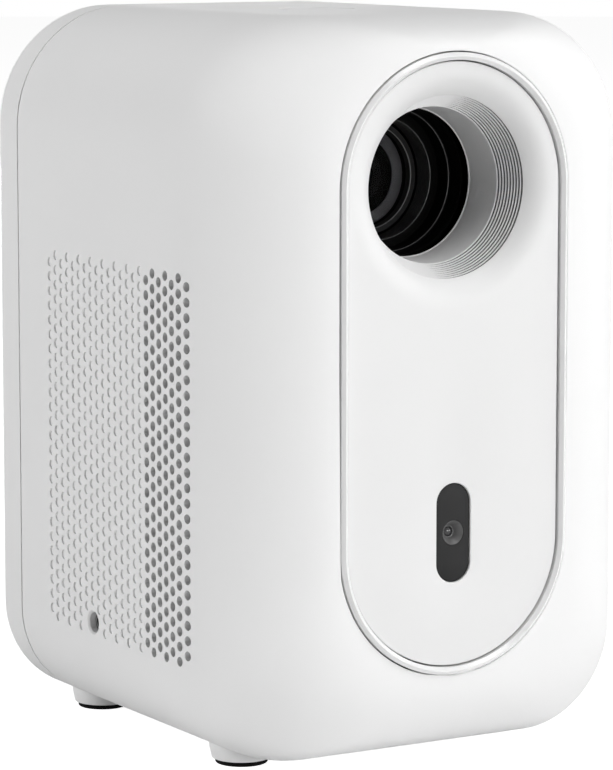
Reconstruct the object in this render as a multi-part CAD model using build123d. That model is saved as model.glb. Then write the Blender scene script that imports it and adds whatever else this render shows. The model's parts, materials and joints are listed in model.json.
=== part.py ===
from build123d import *
import os
from math import acos, cos, hypot, pi, radians, sin, sqrt, tan

os.makedirs("parts", exist_ok=True)

# A tower-shaped home projector, in millimetres. X is to the right seen from the front,
# the front faces -Y and Z is up. The origin is on the floor, under the middle of the part.

# Body shell
body_width = 129.6
body_depth = 139.5
body_height = 194.7
wall = 2.6
top_corner_radius = 33.0
bottom_corner_radius = 27.0
side_round_depth = 34.3
top_round_depth = 27.0
bottom_round_depth = 26.3
front_land = 0.7
round_steps = 10
shortest_flat = 0.5

# Back cover
cover_depth = 16.5
back_round = 7.9
seam_gap = 0.4
lip_length = 3.5
lip_thickness = 1.4
lip_clearance = 0.2
cover_boss_x = 30.0
cover_boss_radius = 3.8
cover_boss_inset = 12.0
cover_rib_width = 3.0
cover_boss_length = 18.0
port_recess_depth = 3.0
port_recess_margin = 7.0
port_clearance = 0.3

# Front panel and its trim ring, both rounded at the ends like a stadium
ring_half_width = 34.64
ring_top_gap = 9.11
ring_bottom_gap = 23.41
ring_width = 2.18
ring_proud = 0.6
ring_gap = 0.25
ring_edge_radius = 0.8
panel_recess = 0.4
panel_thickness = 3.0
panel_rim = 2.2
seat_depth = 5.0
flange_thickness = 2.4
land_start = 2.0
land_width = 4.2
land_clearance = 0.3

# Lens funnel in the panel
flare_radius = 31.0
flare_depth = 4.55
funnel_mouth_radius = 23.73
ridge_end_radius = 20.44
ridge_end_depth = 11.95
ridge_count = 9
funnel_end_radius = 19.8
funnel_end_depth = 24.45
lens_drop = 0.34
funnel_wall = 2.0

# Sensor window and the camera behind it
window_half_width = 5.09
window_half_height = 13.0
window_drop = 43.7
window_recess = 0.3
window_clearance = 0.12
window_flange = 1.4
window_flange_thickness = 1.2
camera_radius = 2.95
camera_clearance = 0.1
camera_recess = 1.0
camera_block = 9.0
camera_block_depth = 4.0
camera_glass_radius = 1.65
camera_glass_depth = 0.8
glass_clearance = 0.03
receiver_size = 6.0
receiver_depth = 4.4
receiver_rise = 10.5
sensor_board_half_width = 8.5
sensor_board_half_height = 21.0
sensor_board_depth = 10.5
sensor_post_rise = 18.0
sensor_post_radius = 2.4
stake_radius = 1.0
stake_clearance = 0.05
stake_head = 0.6
board_thickness = 1.6

# Power button in the top
button_radius = 10.0
button_gap = 0.25
button_depth = 70.0
button_recess = 0.2
button_edge_radius = 0.5
button_dish_depth = 0.5
button_dish_radius = 8.6
button_flange_radius = 11.4
button_flange_thickness = 1.0
button_flange_clearance = 0.1
button_travel = 0.8
button_stem_radius = 2.0
button_stem_length = 1.6
switch_clearance = 0.2
switch_size = 6.2
switch_body_height = 3.4
plunger_radius = 1.6
plunger_height = 0.7
button_post_spacing = 28.0
button_post_radius = 2.6
button_board_half_width = 17.5
button_board_half_depth = 7.0

# Feet
foot_height = 4.5
foot_side_inset = 26.6
front_foot_inset = 45.0
rear_foot_inset = 14.5
foot_top_radius = 8.7
foot_bottom_radius = 8.1
foot_reach = 3.0
foot_edge_radius = 0.6
pad_radius = 7.1
pad_thickness = 1.4
pad_recess = 0.5
pad_clearance = 0.05
foot_screw_radius = 1.5
foot_screw_head_radius = 2.8
foot_screw_head = 1.6
foot_screw_length = 10.0
foot_boss_radius = 3.5
foot_boss_height = 7.0
screw_clearance = 0.05

# Tripod bush in the bottom
bush_radius = 5.5
bush_flange_radius = 8.0
bush_flange_thickness = 2.0
bush_top = 3.0
bush_recess = 0.2
bush_thread_radius = 2.55
bush_thread_length = 8.3
bush_clearance = 0.05

# Base chassis and power supply
chassis_side_gap = 0.7
chassis_front = 35.0
chassis_rear_gap = 35.5
chassis_thickness = 2.5
column_size = 8.0
column_side_inset = 4.5
column_front_inset = 5.0
column_rear_inset = 8.0
power_board_gap = 2.5
power_board_rise = 6.4
power_standoff_radius = 3.0
power_standoff_inset = 5.0
transformer_size = (22.0, 26.0, 16.0)
transformer_back = 50.0
capacitor_radius = 6.0
capacitor_height = 17.0
capacitor_x = 12.0
capacitor_back = 82.0

# Heat sink under the lamp and fins in the air way
sink_base_height = 35.5
sink_base_thickness = 5.0
sink_front = 14.0
sink_overhang = 3.0
fin_thickness = 1.2
fin_count = 11
fin_front_inset = 4.0
fin_rear_gap = 6.0
fin_drop = 43.11
fin_side_inset = 4.0
lamp_board_inset = 4.8
lamp_board_thickness = 2.0
lamp_dome_radius = 7.0

# Light engine
engine_side_gap = 12.2
engine_wall = 2.0
engine_drop = 37.11
shelf_height = 53.5
shelf_thickness = 2.0
shelf_rest = 2.8
condenser_gap = 1.7
condenser_edge = 2.0
condenser_dome = 9.0
stack_drop = 24.0
ledge_width = 2.5
ledge_thickness = 2.0
stack_clearance = 0.2
lens_sheet_thickness = 2.0
frame_width = 4.0
lcd_frame_height = 6.0
lcd_thickness = 2.5
field_frame_height = 5.5
mirror_thickness = 1.8
mirror_side_gap = 3.0
mirror_end_gap = 2.5
clamp_thickness = 1.8
clamp_clearance = 0.2

# Projection lens and focus drive
sleeve_radius = 22.8
barrel_radius = 20.25
barrel_clearance = 0.05
sleeve_setback = 5.0
sleeve_length = 29.05
sleeve_flange = 31.0
sleeve_flange_thickness = 3.0
sleeve_collar_radius = 23.6
sleeve_collar_length = 2.0
barrel_setback = 3.5
barrel_overhang = 2.0
barrel_bore_clearance = 0.5
mouth_radius = 19.6
mouth_edges = [(18.9, 5.05), (16.3, 10.15)]
front_ring_setback = 16.35
front_ring_thickness = 1.7
front_ring_inner = 14.07
front_lens_radius = 15.6
front_lens_edge = 3.0
front_lens_crown = 3.4
iris_radius = 11.0
iris_thickness = 2.0
rear_lens_radius = 16.8
rear_lens_edge = 3.5
rear_lens_crown = 2.0
rear_ring_thickness = 2.0
rear_ring_inner = 14.5
lens_fit = 0.05
key_width = 3.0
key_height = 1.0
key_clearance = 0.15
ring_setback = 7.5
gear_length = 6.0
gear_running = 0.05
gear_side_clearance = 0.3
gear_module = 0.8
ring_teeth = 64
pinion_teeth = 14
pressure_angle = 25.0
gear_addendum = 0.85
gear_dedendum = 1.15
gear_backlash = 0.14
flank_points = 4
keeper_thickness = 1.6
keeper_radius = 24.4
keeper_clearance = 0.02
pinion_angle = 225.0
pinion_shaft_radius = 1.0
pinion_shaft_length = 6.0
shaft_clearance = 0.04
motor_radius = 7.0

# Cooling fan
fan_size = 50.0
fan_thickness = 15.0
fan_side_gap = 11.2
fan_rear_gap = 1.0
fan_bore_radius = 23.6
fan_hub_radius = 11.0
fan_blade_gap = 0.7
fan_blade_count = 9
fan_blade_thickness = 1.2
fan_blade_angle = 40.0
fan_strut_thickness = 2.0
fan_strut_width = 4.0
fan_strut_angles = (90, 210, 330)
fan_hub_gap = 0.5
fan_shaft_radius = 1.2
fan_inset = 0.8
fan_corner_radius = 3.0
fan_hole_radius = 2.1
fan_hole_inset = 4.5

# Side vents: rows of holes in a staggered grid
hole_pitch = 4.0
hole_radius = 1.3
vent_rear_depth = 103.55
vent_top_rise = 23.57
vent_columns = 23
open_columns = 7
vent_rows = 25
mesh_thickness = 0.8
mesh_margin = 2.4
mesh_offset = 1.8
mesh_rib_width = 2.5

# Audio socket in the left side
socket_column = 7
socket_drop = 74.43
socket_hole_radius = 2.85
socket_ferrule_radius = 2.75
socket_bore_radius = 1.78
socket_recess = 0.8
socket_chamfer = 0.5
socket_length = 12.0
socket_half_width = 3.5
socket_half_height = 3.2
socket_bore_length = 13.0
audio_board_half = 8.5
audio_board_thickness = 1.2
audio_ledge_height = 4.0
audio_ledge_sink = 1.2

# Main board and rear sockets
board_rear_gap = 16.5
board_standoff = 4.0
board_side_inset = 6.0
board_low = 47.5
board_top_gap = 2.0
board_hole_inset = 4.0
standoff_radius = 2.5
board_screw_radius = 0.95
board_screw_head_radius = 2.0
board_screw_head = 1.2
board_screw_length = 4.5
processor_size = 34.0
processor_height = 6.5
processor_drop = 20.0
processor_grooves = 6
processor_groove_depth = 4.5
socket_row_height = 63.5
video_x = -22.0
video_width = 15.0
video_height = 6.0
video_tongue = (11.5, 1.4)
data_x = (2.0, 24.0)
data_width = 14.4
data_height = 7.2
data_tongue = (11.0, 2.0)
shell_thickness = 0.6
rear_socket_depth = 9.0
rear_socket_recess = 0.2

# Mains inlet
inlet_x = 0.0
inlet_height = 22.5
inlet_plate = (26.0, 18.0)
inlet_plate_thickness = 2.0
inlet_nose = (17.0, 10.0)
inlet_cavity = (13.6, 7.0)
inlet_cavity_depth = 9.5
inlet_body_length = 17.0
inlet_nose_recess = 0.2
inlet_clearance = 0.15
inlet_pin_radius = 1.2
inlet_pin_spacing = 8.6
inlet_pin_setback = 1.2
inlet_pin_root = 3.0
inlet_pin_clearance = 0.05

# Rear speaker
speaker_rise = 2.89
speaker_radius = 27.0
speaker_cone_radius = 21.5
speaker_flange = 2.0
speaker_basket_depth = 13.0
speaker_neck_radius = 14.0
speaker_magnet_radius = 15.0
speaker_magnet_depth = 8.0
speaker_wall = 1.6
speaker_grille_radius = 20.0

# Screws of the back cover and the panel
cover_screw_radius = 1.4
cover_screw_head_radius = 2.7
cover_screw_head = 2.0
cover_screw_bite = 11.0
cover_screw_recess = 6.5
panel_screw_radius = 0.9
panel_screw_head_radius = 1.8
panel_screw_head = 1.2
panel_screw_length = 4.4
panel_screw_rise = 36.0

# Places worked out from the driving dimensions
front_y = -(body_depth - ring_proud) / 2
body_low = foot_height
body_top = body_low + body_height
half_width = body_width / 2
inner_half = half_width - wall
floor_z = body_low + wall
roof_z = body_top - wall
ring_half_height = (body_height - ring_top_gap - ring_bottom_gap) / 2
panel_z = body_low + ring_bottom_gap + ring_half_height
lens_z = panel_z + ring_half_height - ring_half_width - lens_drop
window_z = panel_z - window_drop
side_margin = half_width - ring_half_width - front_land
top_margin = ring_top_gap - front_land
bottom_margin = ring_bottom_gap - front_land
round_end = max(side_round_depth, top_round_depth, bottom_round_depth)
cover_start = body_depth - cover_depth
housing_end = cover_start - seam_gap
lip_start = cover_start - lip_length
lip_inset = wall + lip_clearance
cover_inner = body_depth - wall
cover_screw_seat = body_depth - cover_screw_recess
cover_screw_length = cover_screw_seat - housing_end + cover_screw_bite
row_pitch = hole_pitch / 2
column_pitch = hole_pitch * sqrt(3) / 2
vent_top_z = panel_z + vent_top_rise
socket_depth = vent_rear_depth - socket_column * column_pitch
socket_z = panel_z - socket_drop
sink_top = body_low + sink_base_height + sink_base_thickness
barrel_front = funnel_end_depth + barrel_setback
sleeve_front = barrel_front + sleeve_setback
front_ring_depth = barrel_front + front_ring_setback
ring_front = sleeve_front + ring_setback
engine_front = sleeve_front + sleeve_length
barrel_back = engine_front + barrel_overhang
board_depth = body_depth - board_rear_gap
engine_back = board_depth - board_standoff
engine_mid = (engine_front + engine_back) / 2
engine_half_width = inner_half - engine_side_gap
engine_roof = lens_z - engine_drop
ledge_top = engine_roof - stack_drop
condenser_radius = (engine_back - engine_front) / 2 - engine_wall - condenser_gap
mirror_roof = lens_z + (engine_back - engine_front) / 2
mirror_half_width = engine_half_width - engine_wall - mirror_side_gap
mirror_length = (engine_back - engine_front - 2 * engine_wall) * sqrt(2) - 2 * mirror_end_gap
stack_half_width = engine_half_width - engine_wall - stack_clearance
stack_front = engine_front + engine_wall + stack_clearance
stack_back = engine_back - engine_wall - stack_clearance
flange_back = seat_depth + flange_thickness
panel_half_width = ring_half_width - ring_width - ring_gap
panel_half_height = ring_half_height - ring_width - ring_gap
sleeve_back = engine_front - sleeve_flange_thickness
gear_distance = gear_module * (ring_teeth + pinion_teeth) / 2
pinion_x = gear_distance * cos(radians(pinion_angle))
pinion_z = lens_z + gear_distance * sin(radians(pinion_angle))
pinion_back = ring_front + gear_length + gear_side_clearance
chassis_half_width = half_width - foot_side_inset - foot_boss_radius - chassis_side_gap
chassis_back = body_depth - chassis_rear_gap
chassis_top = floor_z + chassis_thickness
column_x = chassis_half_width - column_side_inset
column_front = chassis_front + column_front_inset
column_back = chassis_back - column_rear_inset
power_board_half_width = column_x - column_size / 2 - power_board_gap
power_board_z = chassis_top + power_board_rise
fan_right = inner_half - fan_side_gap
fan_left = fan_right - fan_thickness
fan_depth = engine_front - fan_rear_gap - fan_size / 2
fan_z = sink_top + fan_size / 2
board_half_width = engine_half_width - board_side_inset
board_low_z = body_low + board_low
board_top_z = engine_roof - board_top_gap
board_back = board_depth + board_thickness
port_face = body_depth - port_recess_depth
socket_face = port_face - rear_socket_recess
port_z = body_low + socket_row_height
inlet_z = body_low + inlet_height
speaker_z = lens_z + speaker_rise
cover_boss_places = [
    (side * cover_boss_x, z)
    for side in (-1, 1)
    for z in (body_low + cover_boss_inset, body_top - cover_boss_inset)
]
foot_x = half_width - foot_side_inset
front_foot_places = [(side * foot_x, front_foot_inset) for side in (-1, 1)]
rear_foot_places = [(side * foot_x, body_depth - rear_foot_inset) for side in (-1, 1)]
foot_places = front_foot_places + rear_foot_places


# Plain forms
def at(depth):
    return front_y + depth


def block(x_span, depth_span, z_span):
    """A box given by its spans, with depths counted from the front face."""
    size = [high - low for low, high in (x_span, depth_span, z_span)]
    middle = [(low + high) / 2 for low, high in (x_span, depth_span, z_span)]
    return Pos(middle[0], at(middle[1]), middle[2]) * Box(*size)


def rod_y(radius, start, end, x=0.0, z=0.0):
    """A cylinder along Y between two depths."""
    return Pos(x, at((start + end) / 2), z) * Rot(90, 0, 0) * Cylinder(radius, end - start)


def rod_x(radius, start, end, depth, z):
    """A cylinder along X between two places."""
    return Pos((start + end) / 2, at(depth), z) * Rot(0, 90, 0) * Cylinder(radius, end - start)


def rod_z(radius, start, end, x=0.0, depth=0.0):
    """A cylinder along Z between two heights."""
    return Pos(x, at(depth), (start + end) / 2) * Cylinder(radius, end - start)


def tube_y(outer, inner, start, end, x=0.0, z=0.0):
    return rod_y(outer, start, end, x, z) - rod_y(inner, start, end, x, z)


def facing(depth):
    """A plane square to Y whose own axes are X and Z."""
    return Plane((0, at(depth), 0), x_dir=(1, 0, 0), z_dir=(0, -1, 0))


def push_back(face, length):
    return extrude(face, amount=-length)


def stadium(depth, length, half_wide, half_high, z):
    """An upright stadium-ended plate that starts at a depth."""
    face = facing(depth) * Pos(0, z) * SlotOverall(2 * half_high, 2 * half_wide, rotation=90)
    return push_back(face, length)


def flat_slot(depth, length, size, x, z):
    """A lying stadium-ended plate that starts at a depth."""
    face = facing(depth) * Pos(x, z) * SlotOverall(size[0], size[1])
    return push_back(face, length)


def turned_y(points, z):
    """A solid of revolution about the lens line: points are radius and depth."""
    outline = [(radius, at(depth)) for radius, depth in points]
    face = Plane((0, 0, z)) * make_face(Polyline(*outline, close=True))
    return revolve(face, Axis((0, 0, z), (0, 1, 0)))


def screw_y(shank, head, seat, x, z):
    """A screw along Y with its head to the back; shank and head are radius and length."""
    solid = rod_y(head[0], seat, seat + head[1], x, z)
    return solid + rod_y(shank[0], seat - shank[1], seat, x, z)


# Body form
def front_inset(margin, round_depth, depth):
    """How far the outline draws in near the front: a quarter ellipse."""
    if depth >= round_depth:
        return 0.0
    slope = 1 - depth / round_depth
    return margin * (1 - sqrt(1 - slope**2))


def outline_face(depth, half, low, high, low_radius, high_radius):
    """A box outline with its own radius for the lower and the upper corners."""
    low_radius = min(low_radius, half - shortest_flat)
    high_radius = min(high_radius, half - shortest_flat)
    left, right = -half, half
    edges = [
        Line((left + low_radius, low), (right - low_radius, low)),
        CenterArc((right - low_radius, low + low_radius), low_radius, 270, 90),
        Line((right, low + low_radius), (right, high - high_radius)),
        CenterArc((right - high_radius, high - high_radius), high_radius, 0, 90),
        Line((right - high_radius, high), (left + high_radius, high)),
        CenterArc((left + high_radius, high - high_radius), high_radius, 90, 90),
        Line((left, high - high_radius), (left, low + low_radius)),
        CenterArc((left + low_radius, low + low_radius), low_radius, 180, 90),
    ]
    return facing(depth) * make_face(edges)


def body_section(depth, inset):
    """The body's outline at a depth, drawn in all round by an inset."""
    behind = depth - inset
    half = half_width - inset - front_inset(side_margin, side_round_depth - inset, behind)
    low = body_low + inset + front_inset(bottom_margin, bottom_round_depth - inset, behind)
    high = body_top - inset - front_inset(top_margin, top_round_depth - inset, behind)
    return outline_face(depth, half, low, high, bottom_corner_radius - inset, top_corner_radius - inset)


def body_form(inset, end):
    """The rounded body as a full solid from its front to a depth."""
    turns = [1 - cos(pi / 2 * step / round_steps) for step in range(round_steps + 1)]
    sections = [body_section(inset + (round_end - inset) * turn, inset) for turn in turns]
    nose = loft(sections)
    return nose + push_back(body_section(round_end, inset), end - round_end)


# Side vents
def vent_places(columns):
    """Depth and height of each hole in the given columns, counted from the rear."""
    places = []
    for column in columns:
        odd = column % 2
        for row in range(vent_rows + odd):
            step = 2 * row + 1 - odd
            places.append((vent_rear_depth - column * column_pitch, vent_top_z - step * row_pitch))
    return places


def vent_cutters(side):
    open_range = range(vent_columns - open_columns, vent_columns)
    reach = half_width + wall
    inner = inner_half - side_margin / 2
    span = (inner, reach) if side > 0 else (-reach, -inner)
    return [rod_x(hole_radius, span[0], span[1], depth, z) for depth, z in vent_places(open_range)]


def vent_span():
    """Depth and height spans of the open columns, with the mesh's margin."""
    rear = vent_rear_depth - (vent_columns - open_columns) * column_pitch
    front = vent_rear_depth - (vent_columns - 1) * column_pitch
    low = vent_top_z - 2 * vent_rows * row_pitch
    return (front - mesh_margin, rear + mesh_margin), (low - mesh_margin, vent_top_z + mesh_margin)


def make_vent_mesh(side):
    depth_span, z_span = vent_span()
    outer = inner_half - mesh_offset
    x_span = sorted((side * outer, side * (outer - mesh_thickness)))
    return block(x_span, depth_span, z_span)


def mesh_rib(side):
    """A rib on the wall's inside that the rear edge of the mesh is glued to."""
    depth_span, z_span = vent_span()
    x_span = sorted((side * (inner_half - mesh_offset), side * (half_width - wall / 2)))
    return block(x_span, (depth_span[1] - mesh_rib_width, depth_span[1]), z_span)


# Casing
def make_main_housing():
    shell = body_form(0.0, housing_end) - body_form(wall, housing_end + wall)
    land_half_width = ring_half_width + land_width
    land_half_height = ring_half_height + land_width
    land = stadium(land_start, seat_depth - land_start, land_half_width, land_half_height, panel_z)
    shell += land & body_form(0.0, round_end + wall)
    shell += [mesh_rib(-1), mesh_rib(1)]
    boss_start = housing_end - cover_boss_length
    boss_span = (floor_z - wall / 2, floor_z + foot_boss_height)
    shell += [rod_y(cover_boss_radius, boss_start, housing_end, x, z) for x, z in cover_boss_places]
    shell += [cover_rib(x, z, cover_rib_width, cover_boss_length) for x, z in cover_boss_places]
    shell += [rod_z(foot_boss_radius, *boss_span, x, depth) for x, depth in front_foot_places]
    shell += [button_post(side) for side in (-1, 1)]
    shell += audio_ledge()
    return shell - housing_cuts() - vent_cutters(-1) - vent_cutters(1)


def housing_cuts():
    """What is cut from the housing, apart from the side vents."""
    hole_half_width = ring_half_width + ring_gap
    hole_half_height = ring_half_height + ring_gap
    cuts = [
        stadium(-ring_proud, seat_depth + wall + ring_proud, hole_half_width, hole_half_height, panel_z),
        rod_z(button_radius + button_gap, roof_z - wall, body_top + wall, 0, button_depth),
        rod_z(bush_radius + bush_clearance, body_low - wall, floor_z + wall, 0, bush_depth()),
        socket_cutter(),
    ]
    cuts += [foot_screw_hole(x, depth) for x, depth in front_foot_places]
    cover_hole = cover_screw_radius + screw_clearance
    cover_hole_start = housing_end - cover_boss_length + wall
    cuts += [rod_y(cover_hole, cover_hole_start, body_depth, x, z) for x, z in cover_boss_places]
    panel_hole = panel_screw_radius + screw_clearance
    panel_hole_start = flange_back - panel_screw_length - screw_clearance
    cuts += [rod_y(panel_hole, panel_hole_start, flange_back, x, z) for x, z in panel_screw_places()]
    return cuts


def foot_screw_hole(x, depth):
    return rod_z(foot_screw_radius + screw_clearance, body_low - wall, floor_z + foot_boss_height + wall, x, depth)


def panel_screw_places():
    x = ring_half_width + land_width / 2 + ring_gap / 2
    return [(side * x, panel_z + rise) for side in (-1, 1) for rise in (-panel_screw_rise, panel_screw_rise)]


def bush_depth():
    return (chassis_front + chassis_back) / 2


def cover_form(inset):
    """The back cover's outer form: the body's outline with a rounded rear edge."""
    solid = push_back(body_section(cover_start, inset), cover_depth - inset)
    rim = solid.faces().sort_by(Axis.Y)[-1].edges()
    return fillet(rim, back_round - inset)


def port_window(margin, depth, length):
    """A block over the row of rear sockets."""
    left = video_x - video_width / 2
    right = data_x[-1] + data_width / 2
    half = max(video_height, data_height) / 2
    x_span = (left - margin, right + margin)
    return block(x_span, (depth, depth + length), (port_z - half - margin, port_z + half + margin))


def speaker_holes():
    """Holes of the speaker's round grille, on the same staggered grid as the side vents."""
    reach = int(speaker_grille_radius / row_pitch)
    holes = []
    for column in range(-reach, reach + 1):
        for row in range(-reach, reach + 1):
            x, rise = column * column_pitch, row * row_pitch
            if (column + row) % 2 == 0 and hypot(x, rise) <= speaker_grille_radius:
                holes.append(rod_y(hole_radius, cover_inner - wall, body_depth + wall, x, speaker_z + rise))
    return holes


def make_back_cover():
    hollow = push_back(body_section(cover_start - wall, wall), cover_inner - cover_start + wall)
    shell = cover_form(0.0) - fillet(hollow.faces().sort_by(Axis.Y)[-1].edges(), back_round - wall)
    lip = push_back(body_section(lip_start, lip_inset), lip_length)
    lip += push_back(body_section(cover_start, wall / 2), wall)
    shell += lip - push_back(body_section(lip_start, lip_inset + lip_thickness), lip_length + wall)
    shell += [rear_foot_boss(x, depth) for x, depth in rear_foot_places]
    shell += port_window(port_recess_margin + wall, port_face - wall, port_recess_depth)
    boss_end = cover_inner + wall / 2
    shell += [rod_y(cover_boss_radius, housing_end, boss_end, x, z) for x, z in cover_boss_places]
    cuts = [port_window(port_recess_margin, port_face, port_recess_depth + wall)]
    cuts += [socket_outline(x, width, height, port_clearance) for x, width, height in socket_row()]
    inlet_hole = [size + 2 * inlet_clearance for size in inlet_nose]
    cuts.append(flat_slot(cover_inner - wall, 2 * wall, inlet_hole, inlet_x, inlet_z))
    cuts += speaker_holes()
    for x, z in cover_boss_places:
        cuts.append(rod_y(cover_screw_radius + screw_clearance, housing_end - wall, body_depth, x, z))
        cuts.append(rod_y(cover_screw_head_radius + screw_clearance, cover_screw_seat, body_depth + wall, x, z))
        cuts.append(lip_notch(x, z))
    cuts += [foot_screw_hole(x, depth) for x, depth in rear_foot_places]
    return shell - cuts


def rear_foot_boss(x, depth):
    """A boss on the cover's floor that reaches over the end of the housing's floor."""
    boss = rod_z(foot_boss_radius, body_low, floor_z + foot_boss_height, x, depth)
    over_housing = push_back(body_section(lip_start, lip_inset), lip_length)
    over_cover = push_back(body_section(cover_start, wall / 2), cover_depth - wall)
    return (boss & over_housing) + (boss & over_cover)


def cover_rib(x, z, width, length):
    """A rib that ties a screw boss to the floor or the roof of the housing."""
    far = floor_z - wall / 2 if z < panel_z else roof_z + wall / 2
    return block((x - width / 2, x + width / 2), (housing_end - length, housing_end), sorted((far, z)))


def lip_notch(x, z):
    """Room in the lip for a rib of the housing."""
    return cover_rib(x, z, cover_rib_width + 2 * lip_clearance, 2 * lip_length)


def make_cover_screws():
    shank = (cover_screw_radius, cover_screw_length)
    head = (cover_screw_head_radius, cover_screw_head)
    return [screw_y(shank, head, cover_screw_seat, x, z) for x, z in cover_boss_places]


# Front panel, ring and funnel
def make_trim_ring():
    length = seat_depth + ring_proud
    ring = stadium(-ring_proud, length, ring_half_width, ring_half_height, panel_z)
    ring -= stadium(-ring_proud, length, ring_half_width - ring_width, ring_half_height - ring_width, panel_z)
    return fillet(ring.faces().sort_by(Axis.Y)[0].edges(), ring_edge_radius)


def funnel_steps():
    """Corner points of the fine steps between the flare and the smooth cone."""
    points = []
    for step in range(ridge_count):
        share, next_share = step / ridge_count, (step + 1) / ridge_count
        radius = funnel_mouth_radius + (ridge_end_radius - funnel_mouth_radius) * share
        points.append((radius, flare_depth + (ridge_end_depth - flare_depth) * share))
        points.append((radius, flare_depth + (ridge_end_depth - flare_depth) * next_share))
    return points


def funnel_hollow():
    """The air inside the funnel, with the flare as a quarter ellipse."""
    steps = funnel_steps()
    throat = steps + [(ridge_end_radius, ridge_end_depth), (funnel_end_radius, funnel_end_depth)]
    line = Polyline(*[(radius, at(depth)) for radius, depth in throat])
    flare_middle = (flare_radius, at(flare_depth))
    flare_width = flare_radius - funnel_mouth_radius
    flare = EllipticalCenterArc(flare_middle, flare_width, flare_depth - panel_recess, 180, arc_size=90)
    mouth = at(panel_recess)
    front = at(-ring_proud)
    bottom = at(funnel_end_depth)
    rest = Polyline(
        (flare_radius, mouth), (flare_radius, front), (0, front), (0, bottom), (funnel_end_radius, bottom)
    )
    face = Plane((0, 0, lens_z)) * make_face(line.edges() + flare.edges() + rest.edges())
    return revolve(face, Axis((0, 0, lens_z), (0, 1, 0)))


def funnel_wall_solid():
    outer = [
        (0.0, panel_recess),
        (flare_radius, panel_recess),
        (flare_radius, panel_recess + panel_thickness),
        (funnel_mouth_radius + funnel_wall, flare_depth + funnel_wall),
        (ridge_end_radius + funnel_wall, ridge_end_depth),
        (funnel_end_radius + funnel_wall, funnel_end_depth),
        (0.0, funnel_end_depth),
    ]
    return turned_y(outer, lens_z)


def make_front_panel():
    plate = stadium(panel_recess, flange_back - panel_recess, panel_half_width, panel_half_height, panel_z)
    flange = stadium(
        seat_depth,
        flange_thickness,
        ring_half_width + land_width - land_clearance,
        ring_half_height + land_width - land_clearance,
        panel_z,
    )
    plate += flange & body_form(wall + land_clearance, round_end + wall)
    pocket_start = panel_recess + panel_thickness
    plate -= stadium(
        pocket_start, flange_back, panel_half_width - panel_rim, panel_half_height - panel_rim, panel_z
    )
    plate += funnel_wall_solid()
    plate += [sensor_post(side) for side in (-1, 1)]
    cuts = [
        funnel_hollow(),
        stadium(
            -ring_proud, pocket_start + 2 * ring_proud, window_half_width + window_clearance,
            window_half_height + window_clearance, window_z,
        ),
    ]
    cuts += [
        rod_y(panel_screw_radius + screw_clearance, seat_depth - wall, flange_back + wall, x, z)
        for x, z in panel_screw_places()
    ]
    return plate - cuts


def make_panel_screws():
    shank = (panel_screw_radius, panel_screw_length)
    head = (panel_screw_head_radius, panel_screw_head)
    return [screw_y(shank, head, flange_back, x, z) for x, z in panel_screw_places()]


# Sensor window, camera and their board
def sensor_post(side):
    z = window_z + side * sensor_post_rise
    start = panel_recess + panel_thickness / 2
    stake_end = sensor_board_depth + board_thickness + stake_head
    post = rod_y(sensor_post_radius, start, sensor_board_depth, 0, z)
    return post + rod_y(stake_radius, start, stake_end, 0, z)


def make_sensor_window():
    start = panel_recess + window_recess
    back = panel_recess + panel_thickness
    plate = stadium(start, back - start, window_half_width, window_half_height, window_z)
    flange_half_width = window_half_width + window_flange
    flange_half_height = window_half_height + window_flange
    plate += stadium(back, window_flange_thickness, flange_half_width, flange_half_height, window_z)
    return plate - rod_y(camera_radius + camera_clearance, 0, flange_back, 0, window_z)


def make_camera_module():
    half = camera_block / 2
    start = sensor_board_depth - camera_block_depth
    body = block((-half, half), (start, sensor_board_depth), (window_z - half, window_z + half))
    body += rod_y(camera_radius, camera_recess, start, 0, window_z)
    bore_end = camera_recess + 2 * camera_glass_depth
    return body - rod_y(camera_glass_radius + glass_clearance, camera_recess, bore_end, 0, window_z)


def make_camera_glass():
    back = camera_recess + 2 * camera_glass_depth
    return rod_y(camera_glass_radius, back - camera_glass_depth, back, 0, window_z)


def make_ir_receiver():
    half = receiver_size / 2
    z = window_z + receiver_rise
    depth_span = (sensor_board_depth - receiver_depth, sensor_board_depth)
    return block((-half, half), depth_span, (z - half, z + half))


def make_sensor_board():
    board = block(
        (-sensor_board_half_width, sensor_board_half_width),
        (sensor_board_depth, sensor_board_depth + board_thickness),
        (window_z - sensor_board_half_height, window_z + sensor_board_half_height),
    )
    return board - [
        rod_y(stake_radius + stake_clearance, 0, flange_back * 2, 0, window_z + side * sensor_post_rise)
        for side in (-1, 1)
    ]


# Power button
def button_base():
    """Height of the underside of the button's stem."""
    return roof_z - button_flange_clearance - button_flange_thickness - button_stem_length


def button_board_top():
    return button_base() - button_travel - switch_clearance - plunger_height - switch_body_height


def make_power_button():
    flange_top = roof_z - button_flange_clearance
    cap = rod_z(button_radius, flange_top, body_top - button_recess, 0, button_depth)
    cap = fillet(cap.faces().sort_by(Axis.Z)[-1].edges(), button_edge_radius)
    cap += rod_z(button_flange_radius, flange_top - button_flange_thickness, flange_top, 0, button_depth)
    cap += rod_z(button_stem_radius, button_base(), flange_top, 0, button_depth)
    ball = (button_dish_radius**2 + button_dish_depth**2) / (2 * button_dish_depth)
    top = body_top - button_recess
    return cap - Pos(0, at(button_depth), top + ball - button_dish_depth) * Sphere(ball)


def button_post(side):
    x = side * button_post_spacing / 2
    low = button_board_top()
    post = rod_z(button_post_radius, low, roof_z + wall / 2, x, button_depth)
    return post + rod_z(stake_radius, low - board_thickness - stake_head, low, x, button_depth)


def make_button_board():
    top = button_board_top()
    board = block(
        (-button_board_half_width, button_board_half_width),
        (button_depth - button_board_half_depth, button_depth + button_board_half_depth),
        (top - board_thickness, top),
    )
    hole = stake_radius + stake_clearance
    x = button_post_spacing / 2
    return board - [rod_z(hole, top - 2 * board_thickness, top, side * x, button_depth) for side in (-1, 1)]


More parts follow.
